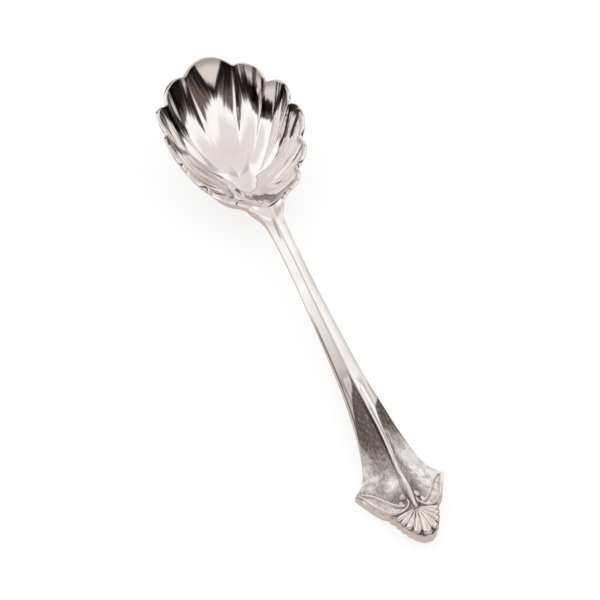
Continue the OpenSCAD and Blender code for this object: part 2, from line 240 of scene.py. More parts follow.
def add_grid(name: str, across: int, along: int) -> tuple[Piece, Array, Array]:
    """Adds a flat grid primitive, the start of every sheet.

    Args:
        name: Name of the piece.
        across: Number of faces in the first direction.
        along: Number of faces in the second direction.

    Returns:
        The piece, and the share of each direction at which each of its points lies.
    """
    select_none()
    bpy.ops.mesh.primitive_grid_add(x_subdivisions=across, y_subdivisions=along, size=1.0)
    piece = bpy.context.object
    piece.name = piece.data.name = name
    shares = np.clip(points_of(piece)[:, :2] + 0.5, 0, 1)
    return piece, shares[:, 0], shares[:, 1]


def move_points(piece: Piece, points: Array) -> None:
    """Puts a piece's points at new places, in metres, one row each."""
    piece.data.vertices.foreach_set("co", points.ravel())
    piece.data.update()


def wrapped_sheet(name: str, across: int, along: int, place: Callable[[Array, Array], Array],
                  weld: float = 0.002) -> Piece:
    """Shapes a grid primitive into a surface and closes its seam and poles.

    Args:
        name: Name of the piece.
        across: Number of faces across the sheet, the first grid direction.
        along: Number of faces along it, the second grid direction.
        place: Gives points in millimetres for shares of the two grid directions.
        weld: Distance in millimetres under which points become one.

    Returns:
        The finished, closed piece with smooth faces that point outwards.
    """
    piece, u, v = add_grid(name, across, along)
    move_points(piece, place(u, v) * MM)
    bpy.ops.object.mode_set(mode="EDIT")
    bpy.ops.mesh.select_all(action="SELECT")
    bpy.ops.mesh.remove_doubles(threshold=weld * MM)
    bpy.ops.mesh.dissolve_degenerate(threshold=weld * MM / 4)
    bpy.ops.mesh.normals_make_consistent(inside=False)
    bpy.ops.object.mode_set(mode="OBJECT")
    bpy.ops.object.shade_smooth_by_angle(angle=SMOOTH_ANGLE)
    return piece


def mark(piece: Piece, **layers: Array) -> None:
    """Stores values on a piece's points, where its finish reads them.

    Args:
        piece: The piece to mark.
        layers: One value for each point, by the layer's name.
    """
    for name, values in layers.items():
        layer = piece.data.attributes.new(name, "FLOAT", "POINT")
        layer.data.foreach_set("value", values.astype(np.float32))


def join(name: str, pieces: list[Piece]) -> Piece:
    """Joins pieces into one.

    Args:
        name: Name of the joined piece.
        pieces: The pieces, of which the first takes up the others.

    Returns:
        The joined piece.
    """
    select_none()
    for piece in pieces:
        piece.select_set(True)
    bpy.context.view_layer.objects.active = pieces[0]
    bpy.ops.object.join()
    joined = bpy.context.object
    joined.name = joined.data.name = name
    return joined


class SubAssembly:
    """A part of the spoon that is built as one piece and dressed in silver.

    Each kind gives its slot, the solid whose place it takes, if any, and its own way of building.
    """

    slot = Slot.ORNAMENT
    node = ""

    def build(self) -> Piece:
        """Makes the piece."""
        raise NotImplementedError

    def dress(self, material: bpy.types.Material) -> Piece:
        """Builds the piece and gives it its finish and its place in the frame.

        Args:
            material: The finish to put on it.

        Returns:
            The dressed piece.
        """
        piece = self.build()
        piece.data.materials.clear()
        piece.data.materials.append(material)
        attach(piece, "root")
        if self.node:
            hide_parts(self.node)
        LOG.info("%s: %d faces", piece.name, len(piece.data.polygons))
        return piece


# The spoon's forms

@dataclass(frozen=True)
class BowlForm:
    """The fluted bowl, in millimetres, as in the part's source.

    Knots go from the tip to the heel on one side. Places on the ring of the mouth count knots, from 0 at the
    tip. Rises, reaches and depths are shares of the largest, and powers say how the wall climbs.
    """

    spoon_length: float = 150.0
    mouth_length: float = 44.7
    mouth_width: float = 30.4
    mouth_rise: float = 17.9
    wall: float = 1.1
    lobe_reach: float = 1.3
    flute_depth: float = 1.1
    mouth: Knots = ((0, 0), (0.018, 0.4), (0.148, 0.825), (0.343, 1), (0.577, 0.935), (0.731, 0.715),
                    (0.88, 0.42), (1, 0))
    rises: tuple[float, ...] = (1, 0.972, 0.815, 0.777, 0.637, 0.515, 0.53, 0.58)
    powers: tuple[float, ...] = (2.1, 1.8, 2.6, 2.75, 2.7, 2.4, 2.8, 3)
    reaches: tuple[float, ...] = (1, 0.77, 0.85, 0.85, 0.9, 0.75)
    depths: tuple[float, ...] = (0.78, 0.9, 1, 0.7, 0.4, 0.6)
    centre_share: float = 0.51
    meeting_share: float = 0.6
    flute_span: Span = (0.22, 0.85)
    dressed_flute_span: Span = (0.3, 0.85)
    uneven_span: Span = (0.3, 0.85)
    even_shifts: tuple[float, ...] = (-0.8, -0.4, 0.0, 0.4, 0.8)
    lobe_arc: float = 62.0
    notch_round: float = 0.16
    edge_radius: float = 0.2
    corner_steps: int = 4
    base_columns: int = 8
    base_rows: int = 13
    turn_columns: int = 64

    @property
    def side(self) -> int:
        """Number of knots from the tip to the heel."""
        return len(self.mouth) - 1

    @property
    def ring(self) -> int:
        """Number of knots round the whole mouth."""
        return 2 * self.side

    def mirrored(self, values: Array) -> Array:
        """Repeats one side's values on the other side of the ring."""
        return np.concatenate([values, values[self.side - 1:0:-1]])

    @cached_property
    def outline(self) -> Array:
        """Knots of the mouth's outline round the ring, in plan."""
        half = np.array(self.mouth, float) * [self.mouth_length, self.mouth_width / 2]
        return np.concatenate([half, half[self.side - 1:0:-1] * [1, -1]])

    @cached_property
    def rise_ring(self) -> Array:
        """Heights of the mouth's edge at the knots of the ring."""
        return self.mirrored(np.array(self.rises) * self.mouth_rise)

    @cached_property
    def power_ring(self) -> Array:
        """Powers of the wall at the knots of the ring."""
        return self.mirrored(np.array(self.powers, float))

    @property
    def centre(self) -> Array:
        """The centre of the wall's curves, in plan."""
        return np.array([self.centre_share * self.mouth_length, 0.0])

    @property
    def meeting(self) -> Array:
        """The place at which the dressed bowl's flutes run together, in plan."""
        return np.array([self.meeting_share * self.mouth_length, 0.0])

    def arch(self, u: Array) -> Array:
        """Height of a lobe's arc.

        Args:
            u: Places on the arc, from -1 at one notch to 1 at the other.

        Returns:
            The height at each place, from 0 at the notches to 1 at the middle.
        """
        arc = math.radians(self.lobe_arc)
        a = np.minimum(np.abs(u), 1.0)
        return (np.cos(np.arcsin(a * math.sin(arc))) - math.cos(arc)) / (1 - math.cos(arc))

    def soft_arch(self, u: Array) -> Array:
        """The lobe's arc with its foot rounded, for the dressed bowl.

        Args:
            u: Places on the arc, from -1 at one notch to 1 at the other.

        Returns:
            The height at each place.
        """
        a = np.minimum(np.abs(u), 1.0)
        start = 1 - self.notch_round
        step = 1e-4
        base = self.arch(np.array(start))
        slope = (self.arch(np.array(start + step)) - base) / step
        v = np.maximum(a - start, 0)
        return np.where(a < start, self.arch(a), base + slope * v * (1 - v / (2 * self.notch_round)))

    def lobes(self, s: Array, arc: Callable[[Array], Array]) -> tuple[Array, Array]:
        """Reach and flute depth at ring places.

        Args:
            s: Places on the ring.
            arc: Gives the height of a lobe's arc between its notches.

        Returns:
            The extra reach and the flute's depth, in millimetres.
        """
        s = np.mod(s, self.ring)
        f = np.where(s <= self.side, s, self.ring - s)
        u = np.where(f < 1, f, 2 * (f - np.floor(f)) - 1)
        shape = np.where(f >= self.side - 1, 0.0, arc(u))
        k = np.minimum(np.floor(f).astype(int), self.side - 2)
        return (self.lobe_reach * np.array(self.reaches)[k] * shape,
                self.flute_depth * np.array(self.depths)[k] * shape)

    def outward(self, out: Array, slope: Array, rise: Array, power: Array, t: Array) -> Array:
        """Directions straight out of the wall.

        Args:
            out: Plan vectors from the centre to the mouth's outline.
            slope: Plan directions of the outline.
            rise: Heights of the mouth's edge.
            power: Powers of the wall.
            t: Shares of the way from the centre to the outline.

        Returns:
            One unit vector for each place.
        """
        side = unit(np.stack([-slope[:, 1], slope[:, 0]], 1))
        side = side * np.sign((side * out).sum(1))[:, None]
        steep = power * rise * np.maximum(t, 1e-6) ** (power - 1) / (out * side).sum(1)
        return unit(np.column_stack([steep[:, None] * side, -np.ones_like(steep)]))

    def point(self, s: Array, t: Array, lift: Array) -> Array:
        """Points of the solid bowl's wall before the bowl is put in its place.

        Args:
            s: Places on the ring of the mouth.
            t: Shares of the way from the centre to the mouth's edge.
            lift: Distances outwards from the inner face.

        Returns:
            One row of x, y and z for each place.
        """
        edge, slope = spline_ring(self.outline, s)
        rise = spline_ring(self.rise_ring, s)[0]
        power = spline_ring(self.power_ring, s)[0]
        out = edge - self.centre
        lobe_reach, depth = self.lobes(s, self.arch)
        reach = t * (1 + lobe_reach / np.linalg.norm(out, axis=1))
        plan = self.centre + reach[:, None] * out
        base = np.column_stack([plan, rise * np.maximum(reach, 0) ** power])
        flute = depth * smooth_step(*self.flute_span, t)
        return base + self.outward(out, slope, rise, power, t) * (flute + lift)[:, None]

    @cached_property
    def origin(self) -> Array:
        """Where the bowl's own origin lies in the spoon's frame.

        Returns:
            The place at which the bowl stands on the table and the spoon is centred.
        """
        s = np.arange(0, self.ring, 1 / self.base_columns)
        outer = np.concatenate([self.point(s, np.full_like(s, t), np.full_like(s, self.wall))
                                for t in np.linspace(1 / self.base_rows, 1, self.base_rows)])
        return np.array([-outer[:, 0].min() - self.spoon_length / 2, 0.0, max(self.wall, -outer[:, 2].min())])

    def placed(self, s: Array, t: Array, lift: Array) -> Array:
        """Points of the solid bowl's wall in the spoon's frame, as point gives them in the bowl's own."""
        return self.point(s, t, lift) + self.origin

    def fluted_plan(self, s: Array, r: Array) -> Array:
        """Plan positions on the dressed bowl.

        Args:
            s: Places on the ring of the mouth.
            r: Shares of the way from the flutes' meeting place to the mouth's edge.

        Returns:
            One row of x and y for each place.
        """
        edge = spline_ring(self.outline, s)[0]
        reach = self.lobes(s, self.soft_arch)[0]
        rim = edge + unit(edge - self.centre) * reach[:, None]
        return self.meeting + r[:, None] * (rim - self.meeting)

    def ring_share(self, plan: Array) -> tuple[Array, Array]:
        """Finds where plan positions lie on the bowl's smooth surface.

        Args:
            plan: Plan positions, one row each.

        Returns:
            Their places on the ring, and their shares of the way from the centre to the mouth's outline.
        """
        s = np.linspace(0, self.ring, self.turn_columns * self.ring + 1)
        out = spline_ring(self.outline, s)[0] - self.centre
        turn = np.unwrap(np.arctan2(out[:, 1], out[:, 0]))
        away = plan - self.centre
        place = np.interp(np.arctan2(away[:, 1], away[:, 0]), turn[::-1], s[::-1])
        edge = spline_ring(self.outline, place)[0] - self.centre
        return place, np.linalg.norm(away, axis=1) / np.linalg.norm(edge, axis=1)

    def eased(self, knots: Array, s: Array, keep: Array) -> Array:
        """Reads a ring of knots and evens it out where keep is low.

        Args:
            knots: Values round the ring.
            s: Places on the ring.
            keep: Shares of the uneven part that stay.

        Returns:
            The value at each place.
        """
        exact = spline_ring(knots, s)[0]
        even = sum(spline_ring(knots, s + shift)[0] for shift in self.even_shifts) / len(self.even_shifts)
        return even + (keep[:, None] if exact.ndim > 1 else keep) * (exact - even)

    def fluted(self, s: Array, r: Array, lift: Array) -> Array:
        """Points of the dressed bowl, in the spoon's frame.

        Args:
            s: Places on the ring of the mouth.
            r: Shares of the way from the flutes' meeting place to the mouth's edge.
            lift: Distances outwards from the inner face.

        Returns:
            One row of x, y and z for each place.
        """
        plan = self.fluted_plan(s, r)
        place, t = self.ring_share(plan)
        keep = smooth_step(*self.uneven_span, t)
        out = self.eased(self.outline, place, keep) - self.centre
        rise = self.eased(self.rise_ring, place, keep)
        power = self.eased(self.power_ring, place, keep)
        t = np.linalg.norm(plan - self.centre, axis=1) / np.linalg.norm(out, axis=1)
        slope = spline_ring(self.outline, place)[1]
        flute = self.lobes(s, self.soft_arch)[1] * smooth_step(*self.dressed_flute_span, r)
        base = np.column_stack([plan, rise * t ** power])
        return base + self.outward(out, slope, rise, power, t) * (flute + lift)[:, None] + self.origin

    def edge_profile(self) -> tuple[Array, Array]:
        """Section of the mouth's rounded edge, from the inner face to the outer.

        Returns:
            Distances along the wall past the edge, and distances outwards from the inner face.
        """
        turn = np.linspace(0, math.pi / 2, self.corner_steps + 1)
        r = self.edge_radius
        past = np.concatenate([np.sin(turn) * r - r, np.cos(turn) * r - r])
        lift = np.concatenate([r - np.cos(turn) * r, self.wall - r + np.sin(turn) * r])
        return past, lift


@dataclass(frozen=True)
class HandleForm:
    """The handle's stem and terminal, in millimetres, as in the part's source.

    Knots are pairs of a share of the handle's length, from the heel to the end, and a share of the size that
    they change.
    """

    bowl: BowlForm
    stem_width: float = 4.3
    heel_width: float = 8.6
    side_wall: float = 2.6
    belly_depth: float = 0.9
    ridge_height: float = 0.45
    heel_drop: float = 2.2
    terminal_width: float = 21.4
    tent_height: float = 3.35
    field_depth: float = 0.55
    rib_height: float = 1.05
    rib_width: float = 1.1
    land_width: float = 2.5
    corner: float = 0.828
    heel_flare: Knots = ((0, 1), (0.012, 0.22), (0.022, 0.16), (0.04, 0.1), (0.06, 0.05), (0.085, 0.02),
                         (0.13, 0), (1, 0))
    terminal_flare: Knots = ((0, 0), (0.214, 0.005), (0.312, 0.025), (0.411, 0.055), (0.509, 0.095),
                             (0.568, 0.14), (0.627, 0.205), (0.686, 0.287), (0.735, 0.4), (0.774, 0.53),
                             (0.803, 0.7), (0.828, 1))
    point_width: Knots = ((0, 1), (0.19, 0.86), (0.38, 0.71), (0.49, 0.575), (0.56, 0.52), (0.75, 0.4),
                          (0.88, 0.28), (0.96, 0.16), (1, 0.08))
    under: Knots = ((0, 0.93), (0.023, 0.97), (0.057, 1), (0.116, 0.99), (0.214, 0.91), (0.312, 0.8),
                    (0.411, 0.68), (0.509, 0.545), (0.587, 0.45), (0.666, 0.32), (0.725, 0.19), (0.764, 0.09),
                    (0.8, 0), (0.828, 0), (0.84, 0.01), (0.872, 0.04), (0.912, 0.08), (0.951, 0.12),
                    (1, 0.16))
    sides: Knots = ((0, 0.9), (0.023, 0.75), (0.057, 0.5), (0.116, 0.38), (0.25, 0.36), (0.312, 0.42),
                    (0.411, 0.56), (0.509, 0.73), (0.587, 0.87), (0.666, 0.97), (0.725, 0.95), (0.764, 0.87),
                    (0.806, 0.74), (0.83, 0.6), (0.872, 0.72), (0.912, 0.86), (0.951, 0.96), (1, 1.04))
    belly: Knots = ((0, 1.35), (0.057, 1.15), (0.116, 1), (0.312, 0.85), (0.509, 0.6), (0.666, 0.25),
                    (0.764, 0), (1, 0))
    ridge: Knots = ((0, 0.8), (0.116, 1), (0.509, 1), (0.587, 0.6), (0.666, 0), (1, 0))
    tent: Knots = ((0, 0), (0.509, 0), (0.55, 0.04), (0.587, 0.13), (0.627, 0.28), (0.666, 0.45),
                   (0.705, 0.63), (0.745, 0.78), (0.784, 0.9), (0.83, 1), (0.872, 0.8), (0.912, 0.55),
                   (0.951, 0.3), (1, 0.06))
    rib: Knots = ((0, 0), (0.52, 0), (0.56, 0.3), (0.6, 0.65), (0.65, 0.9), (0.7, 1), (0.82, 1), (0.86, 1.2),
                  (0.89, 0.95), (0.92, 0.4), (0.935, 0), (1, 0))
    rib_widths: Knots = ((0, 2.4), (0.52, 2.6), (0.56, 2.2), (0.6, 1.6), (0.65, 1.05), (0.7, 0.9), (0.8, 1),
                         (0.83, 1.25), (0.865, 2.1), (0.89, 1.5), (0.92, 0.8), (0.935, 0.6), (1, 0.5))
    fields: Knots = ((0, 0), (0.52, 0), (0.58, 0.5), (0.64, 1), (0.8, 1), (0.87, 0.7), (0.92, 0.3), (0.95, 0),
                     (1, 0))
    rib_limit: float = 0.6
    crisp_rib_span: Span = (0.57, 0.68)
    facet_swell: float = 0.05
    facet_span: Span = (0.62, 0.5)
    crest_round: float = 0.05
    edge_radius: float = 0.16

    @cached_property
    def heel(self) -> Array:
        """Outermost point of the bowl's edge at the heel."""
        return self.bowl.placed(np.array([float(self.bowl.side)]), np.ones(1), np.full(1, self.bowl.wall))[0]

    @property
    def length(self) -> float:
        """Length from the bowl's edge to the end."""
        return self.bowl.spoon_length / 2 - self.heel[0]

    def along(self, f: Array) -> Array:
        """X of share f of the handle's length."""
        return self.heel[0] + f * self.length

    def share(self, x: Array) -> Array:
        """Share of the handle's length at x."""
        return (x - self.heel[0]) / self.length

    def half_width(self, f: Array) -> Array:
        """Half the width of the handle.

        Args:
            f: Shares of the length.

        Returns:
            The half width at each share.
        """
        g = np.minimum(f, self.corner)
        stem = (self.stem_width / 2 + (self.heel_width - self.stem_width) / 2 * curve(self.heel_flare, g)
                + (self.terminal_width - self.stem_width) / 2 * curve(self.terminal_flare, g))
        beyond = np.clip((f - self.corner) / (1 - self.corner), 0, 1)
        return np.where(f <= self.corner, stem, self.terminal_width / 2 * curve(self.point_width, beyond))

    def lower_edge(self, f: Array) -> Array:
        """Height of the side wall's lower edge, which rests on the table under the corners."""
        flat = (f >= self.corner - self.land_width / self.length) & (f <= self.corner)
        return np.where(flat, 0.0, (self.heel[2] - self.heel_drop) * curve(self.under, f))

    def upper_edge(self, f: Array) -> Array:
        """Height of the side wall's upper edge."""
        return self.lower_edge(f) + self.side_wall * curve(self.sides, f)

    def rib_half(self, f: Array) -> Array:
        """Half the width of the middle rib."""
        return np.minimum(self.rib_width / 2 * curve(self.rib_widths, f), self.rib_limit * self.half_width(f))

    def top(self, f: Array, y: Array) -> Array:
        """Height of the upper surface.

        Args:
            f: Shares of the length.
            y: Distances from the middle.

        Returns:
            The height at each place.
        """
        half = self.half_width(f)
        rib = self.rib_half(f)
        a = np.minimum(np.abs(y) / half, 1.0)
        q = np.clip((np.abs(y) - rib) / (half - rib), 0, 1)
        slant = 1 - np.sqrt(a * a + self.crest_round ** 2) + self.crest_round
        tent = (self.tent_height * curve(self.tent, f) + self.ridge_height * curve(self.ridge, f)) * slant
        hollow = self.field_depth * curve(self.fields, f) * 4 * q * (1 - q)
        on_rib = np.minimum(np.abs(y) / rib, 1)
        crisp = smooth_step(*self.crisp_rib_span, f)
        profile = crisp * (1 - on_rib ** 3) + (1 - crisp) * (1 - on_rib ** 2) ** 2
        rise = self.rib_height * curve(self.rib, f) * profile
        swell = self.facet_swell * smooth_step(*self.facet_span, f) * 4 * a * (1 - a) * (y > 0)
        return self.upper_edge(f) + tent - hollow + rise + swell

    def bottom(self, f: Array, y: Array) -> Array:
        """Height of the underside at shares f of the length and distances y from the middle."""
        bulge = 1 - np.minimum(np.abs(y) / self.half_width(f), 1) ** 2
        return self.lower_edge(f) - self.belly_depth * curve(self.belly, f) * bulge

    def on_top(self, x: Array, y: Array, lift: Array) -> Array:
        """Points at x from the heel and y from the middle, at a lift above the upper surface."""
        f = x / self.length
        return np.column_stack([self.along(f), y, self.top(f, y) + lift])


# Finishes

class NodeBoard:
    """One tree of shader nodes, to which nodes are added with their values and links."""

    def __init__(self, tree: bpy.types.NodeTree) -> None:
        """Takes up the tree."""
        self.tree = tree

    @staticmethod
    def material(name: str) -> tuple[bpy.types.Material, "NodeBoard"]:
        """Makes a new material with nodes.

        Args:
            name: Name of the material.

        Returns:
            The material and its board.
        """
        material = bpy.data.materials.new(name)
        material.use_nodes = True
        return material, NodeBoard(material.node_tree)

    def fill(self, node: bpy.types.Node, inputs: dict) -> None:
        """Gives a node's inputs their values or links.

        Args:
            node: The node.
            inputs: A fixed value or another node's output for each input, by its name or number.
        """
        for key, given in inputs.items():
            if isinstance(given, Socket):
                self.tree.links.new(given, node.inputs[key])
            else:
                node.inputs[key].default_value = given

    def add(self, kind: str, inputs: dict | None = None, **settings: object) -> bpy.types.Node:
        """Adds a node.

        Args:
            kind: The node's type.
            inputs: A fixed value or another node's output for each input, by its name or number.
            settings: The node's own settings.

        Returns:
            The new node.
        """
        node = self.tree.nodes.new(kind)
        for key, value in settings.items():
            setattr(node, key, value)
        self.fill(node, inputs or {})
        return node

    def mask(self, name: str) -> Socket:
        """Reads one of the layers that mark stores on a piece's points."""
        return self.add("ShaderNodeAttribute", attribute_name=name).outputs["Fac"]

    def mix(self, amount: object, first: object, second: object, kind: str = "RGBA") -> Socket:
        """Blends first into second by an amount, as colours, or as values where kind is FLOAT."""
        inputs = {"Factor": amount, "A": first, "B": second}
        return self.add("ShaderNodeMix", inputs, data_type=kind).outputs["Result"]

    def noise(self, place: Socket, scale: object, detail: float, **more: float) -> Socket:
        """Draws noise at a place, with further inputs of the node by their names."""
        inputs = {"Vector": place, "Scale": scale, "Detail": detail, **more}
        return self.add("ShaderNodeTexNoise", inputs).outputs["Fac"]

    def stretched(self, place: Socket, scale: Colour) -> Socket:
        """Scales a place in each direction, so that what is drawn there is stretched."""
        return self.add("ShaderNodeMapping", {"Vector": place, "Scale": scale}).outputs["Vector"]

    def bump(self, height: Socket, strength: object, depth: float, **more: Socket) -> Socket:
        """Makes relief of a depth in millimetres, with further inputs of the node by their names."""
        inputs = {"Height": height, "Strength": strength, "Distance": depth * MM, **more}
        return self.add("ShaderNodeBump", inputs).outputs["Normal"]

    def spread(self, value: Socket, given: Span, wanted: Span = (0.0, 1.0)) -> Socket:
        """Maps a value from one span to another.

        Args:
            value: The output to map.
            given: The span to read.
            wanted: The span to give.

        Returns:
            The mapped output.
        """
        inputs = {"Value": value, "From Min": given[0], "From Max": given[1], "To Min": wanted[0],
                  "To Max": wanted[1]}
        return self.add("ShaderNodeMapRange", inputs).outputs["Result"]

    def calculate(self, operation: str, *values: object, clamp: bool = False) -> Socket:
        """Works out a value from others, in the operation's order; clamp keeps it between 0 and 1."""
        inputs = dict(enumerate(values))
        return self.add("ShaderNodeMath", inputs, operation=operation, use_clamp=clamp).outputs[0]


class NodeGroups:
    """Shader node groups that several finishes share, each built once."""

    @staticmethod
    def board(name: str, inputs: dict[str, float], outputs: Sequence[str]) -> NodeBoard:
        """Starts a group with its sockets.

        Args:
            name: Name of the group.
            inputs: Its input sockets with their usual values.
            outputs: Its output sockets.

        Returns:
            The group's board.
        """
        tree = bpy.data.node_groups.new(name, "ShaderNodeTree")
        for word, value in inputs.items():
            socket = tree.interface.new_socket(word, in_out="INPUT", socket_type="NodeSocketFloat")
            socket.default_value = value
        for word in outputs:
            tree.interface.new_socket(word, in_out="OUTPUT", socket_type="NodeSocketFloat")
        return NodeBoard(tree)

    @staticmethod
    @cache
    def handling_wear() -> bpy.types.NodeTree:
        """Fine scratches and small tone changes of handled silver.

        Returns:
            A group that puts out a mask of worn patches and the scratches' height.
        """
        sizes = {"Patch size": 180.0, "Scratch size": 900.0}
        board = NodeGroups.board("handling_wear", sizes, ("Tone", "Scratches"))
        given = board.add("NodeGroupInput").outputs
        place = board.add("ShaderNodeTexCoord").outputs["Object"]
        patches = board.noise(place, given["Patch size"], detail=3.0)
        drawn = board.stretched(place, scale=(0.12, 1.0, 1.0))
        scratches = board.noise(drawn, given["Scratch size"], detail=2.0)
        board.add("NodeGroupOutput", {"Tone": patches, "Scratches": scratches})
        return board.tree

    @staticmethod
    @cache
    def matting_grain() -> bpy.types.NodeTree:
        """Fine grain and soft swirls of matted silver.

        Returns:
            A group that takes the painted light on matted metal and puts out its light and the grain's
            height.
        """
        board = NodeGroups.board("matting_grain", {"Tone": 0.5}, ("Light", "Grain"))
        tone = board.add("NodeGroupInput").outputs["Tone"]
        place = board.add("ShaderNodeTexCoord").outputs["Object"]
        drawn = board.stretched(place, scale=(0.28, 1.0, 1.0))
        grain = board.noise(drawn, scale=2600.0, detail=3.0, Roughness=0.65)
        swirl = board.noise(place, scale=360.0, detail=3.0, Distortion=1.2)
        cloudy = board.spread(swirl, given=(0.35, 0.65), wanted=(0.6, 1.3))
        mottled = board.calculate("MULTIPLY", tone, cloudy)
        contrast, shift = 1.1, -0.55
        speckle = board.calculate("MULTIPLY_ADD", grain, contrast, shift)
        light = board.calculate("ADD", mottled, speckle, clamp=True)
        board.add("NodeGroupOutput", {"Light": light, "Grain": grain})
        return board.tree


@dataclass(frozen=True)
class SilverFinish:
    """One finish of silver: its colour, polish and wear.

    Worn values hold where the wear is greatest, and the spans are those of the wear over which colour and
    polish change. Depths are in millimetres, and sizes say how fine the patches and scratches are.
    """

    name: str
    colour: Colour = (0.93, 0.905, 0.885)
    worn_colour: Colour = (0.86, 0.83, 0.81)
    roughness: float = 0.045
    worn_roughness: float = 0.1
    scratch_bump: float = 0.02
    scratch_depth: float = 0.05
    patch_size: float = 160.0
    scratch_size: float = 1400.0
    colour_span: Span = (0.45, 0.75)
    polish_span: Span = (0.4, 0.8)

    def build(self) -> bpy.types.Material:
        """Makes the material.

        Returns:
            Silver with the wear of handling.
        """
        material, board = NodeBoard.material(self.name)
        wear = board.add("ShaderNodeGroup", node_tree=NodeGroups.handling_wear())
        board.fill(wear, {"Patch size": self.patch_size, "Scratch size": self.scratch_size})
        worn = board.spread(wear.outputs["Tone"], self.colour_span)
        board.fill(board.tree.nodes["Principled BSDF"], {
            "Metallic": 1.0,
            "Base Color": board.mix(worn, (*self.colour, 1), (*self.worn_colour, 1)),
            "Roughness": board.spread(wear.outputs["Tone"], self.polish_span,
                                      (self.roughness, self.worn_roughness)),
            "Normal": board.bump(wear.outputs["Scratches"], self.scratch_bump, self.scratch_depth)})
        return material


@dataclass(frozen=True)
class FlutedFinish(SilverFinish):
    """Silver of the bowl: polished, with dark reflections and shade painted into the flutes."""

    # Colour of the painted dark reflections and shade in the flutes.
    tarnish_colour: Colour = (0.045, 0.034, 0.028)

    def build(self) -> bpy.types.Material:
        """Makes the material on top of the plain silver.

        Returns:
            Silver darkened by the painted dark reflections and shade marked on the bowl.
        """
        material = super().build()
        board = NodeBoard(material.node_tree)
        shader = board.tree.nodes["Principled BSDF"]
        plain = shader.inputs["Base Color"].links[0].from_socket
        # Painted dark reflections and shade darken the colour where the layer says so.
        board.fill(shader, {"Base Color": board.mix(board.mask("tarnish"), plain, (*self.tarnish_colour, 1))})
        return material


@dataclass(frozen=True)
class WorkedFinish(SilverFinish):
    """Silver of the handle: polished, with matted fields and painted light and shade.

    The field's shaded and lit colours are the matted metal's under the darkest painted shade and the
    brightest painted light, and the grain's depth is in millimetres.
    """

    # Colours of the matted metal under the darkest painted shade and the brightest painted light.
    field_shaded: Colour = (0.13, 0.105, 0.09)
    field_lit: Colour = (0.95, 0.925, 0.905)
    # Colour of the painted shade.
    ground_colour: Colour = (0.13, 0.095, 0.072)
    field_roughness: float = 0.3
    grain_bump: float = 0.5
    grain_depth: float = 0.12

    def build(self) -> bpy.types.Material:
        """Makes the material on top of the plain silver.

        Returns:
            Silver matted where the layer field says so, with painted light and shade from its other layers.
        """
        material = super().build()
        board = NodeBoard(material.node_tree)
        shader = board.tree.nodes["Principled BSDF"]
        colour, rough, normal = (shader.inputs[name].links[0].from_socket
                                 for name in ("Base Color", "Roughness", "Normal"))
        field = board.mask("field")
        grain = board.add("ShaderNodeGroup", node_tree=NodeGroups.matting_grain())
        # Painted light and shade on the matted fields.
        board.fill(grain, {"Tone": board.mask("tone")})
        matted = board.mix(grain.outputs["Light"], (*self.field_shaded, 1), (*self.field_lit, 1))
        toned = board.mix(field, colour, matted)
        strength = board.calculate("MULTIPLY", field, self.grain_bump)
        # Painted shade darkens the colour where its layer says so.
        board.fill(shader, {
            "Base Color": board.mix(board.mask("ground"), toned, (*self.ground_colour, 1)),
            "Roughness": board.mix(field, rough, self.field_roughness, "FLOAT"),
            "Normal": board.bump(grain.outputs["Grain"], strength, self.grain_depth, Normal=normal)})
        return material


# Pieces

@dataclass(frozen=True)
class PaintedReflectionPatch:
    """A painted dark reflection inside the bowl, an oval with a ragged border between two ends.

    Args:
        start: Ring place of one end and its share of the way from the bowl's centre to the edge.
        end: The same for the other end.
        half_width: Half the width of the oval, in ring places.
        strength: Darkness at its middle.
        wall_scale: Ring places that are as long as the way from the centre to the edge.
        ripples: Sizes of the border's ripples, and how often they come round the ring and up the wall.
        border: Shares of the half width between which the patch fades.
    """

    start: tuple[float, float]
    end: tuple[float, float]
    half_width: float
    strength: float = 1.0
    wall_scale: float = 2.2
    ripples: tuple[tuple[float, float, float], ...] = ((0.22, 37, 11), (0.14, 71, -23))
    border: Span = (1.12, 0.72)

    def amount(self, s: Array, t: Array) -> Array:
        """Darkness of the painted reflection inside the bowl.

        Args:
            s: Places on the ring of the mouth.
            t: Shares of the way from the centre to the edge.

        Returns:
            The darkness at each place, from 0 to 1.
        """
        a = np.array([self.start[0], self.start[1] * self.wall_scale])
        b = np.array([self.end[0], self.end[1] * self.wall_scale])
        p = np.column_stack([s, t * self.wall_scale])
        along = np.clip(((p - a) @ (b - a)) / ((b - a) @ (b - a)), 0, 1)
        away = np.linalg.norm(p - a - along[:, None] * (b - a), axis=1)
        waves = (size * np.sin(turns * s + climbs * t) for size, turns, climbs in self.ripples)
        return self.strength * smooth_step(*self.border, away / (self.half_width * (1 + sum(waves))))


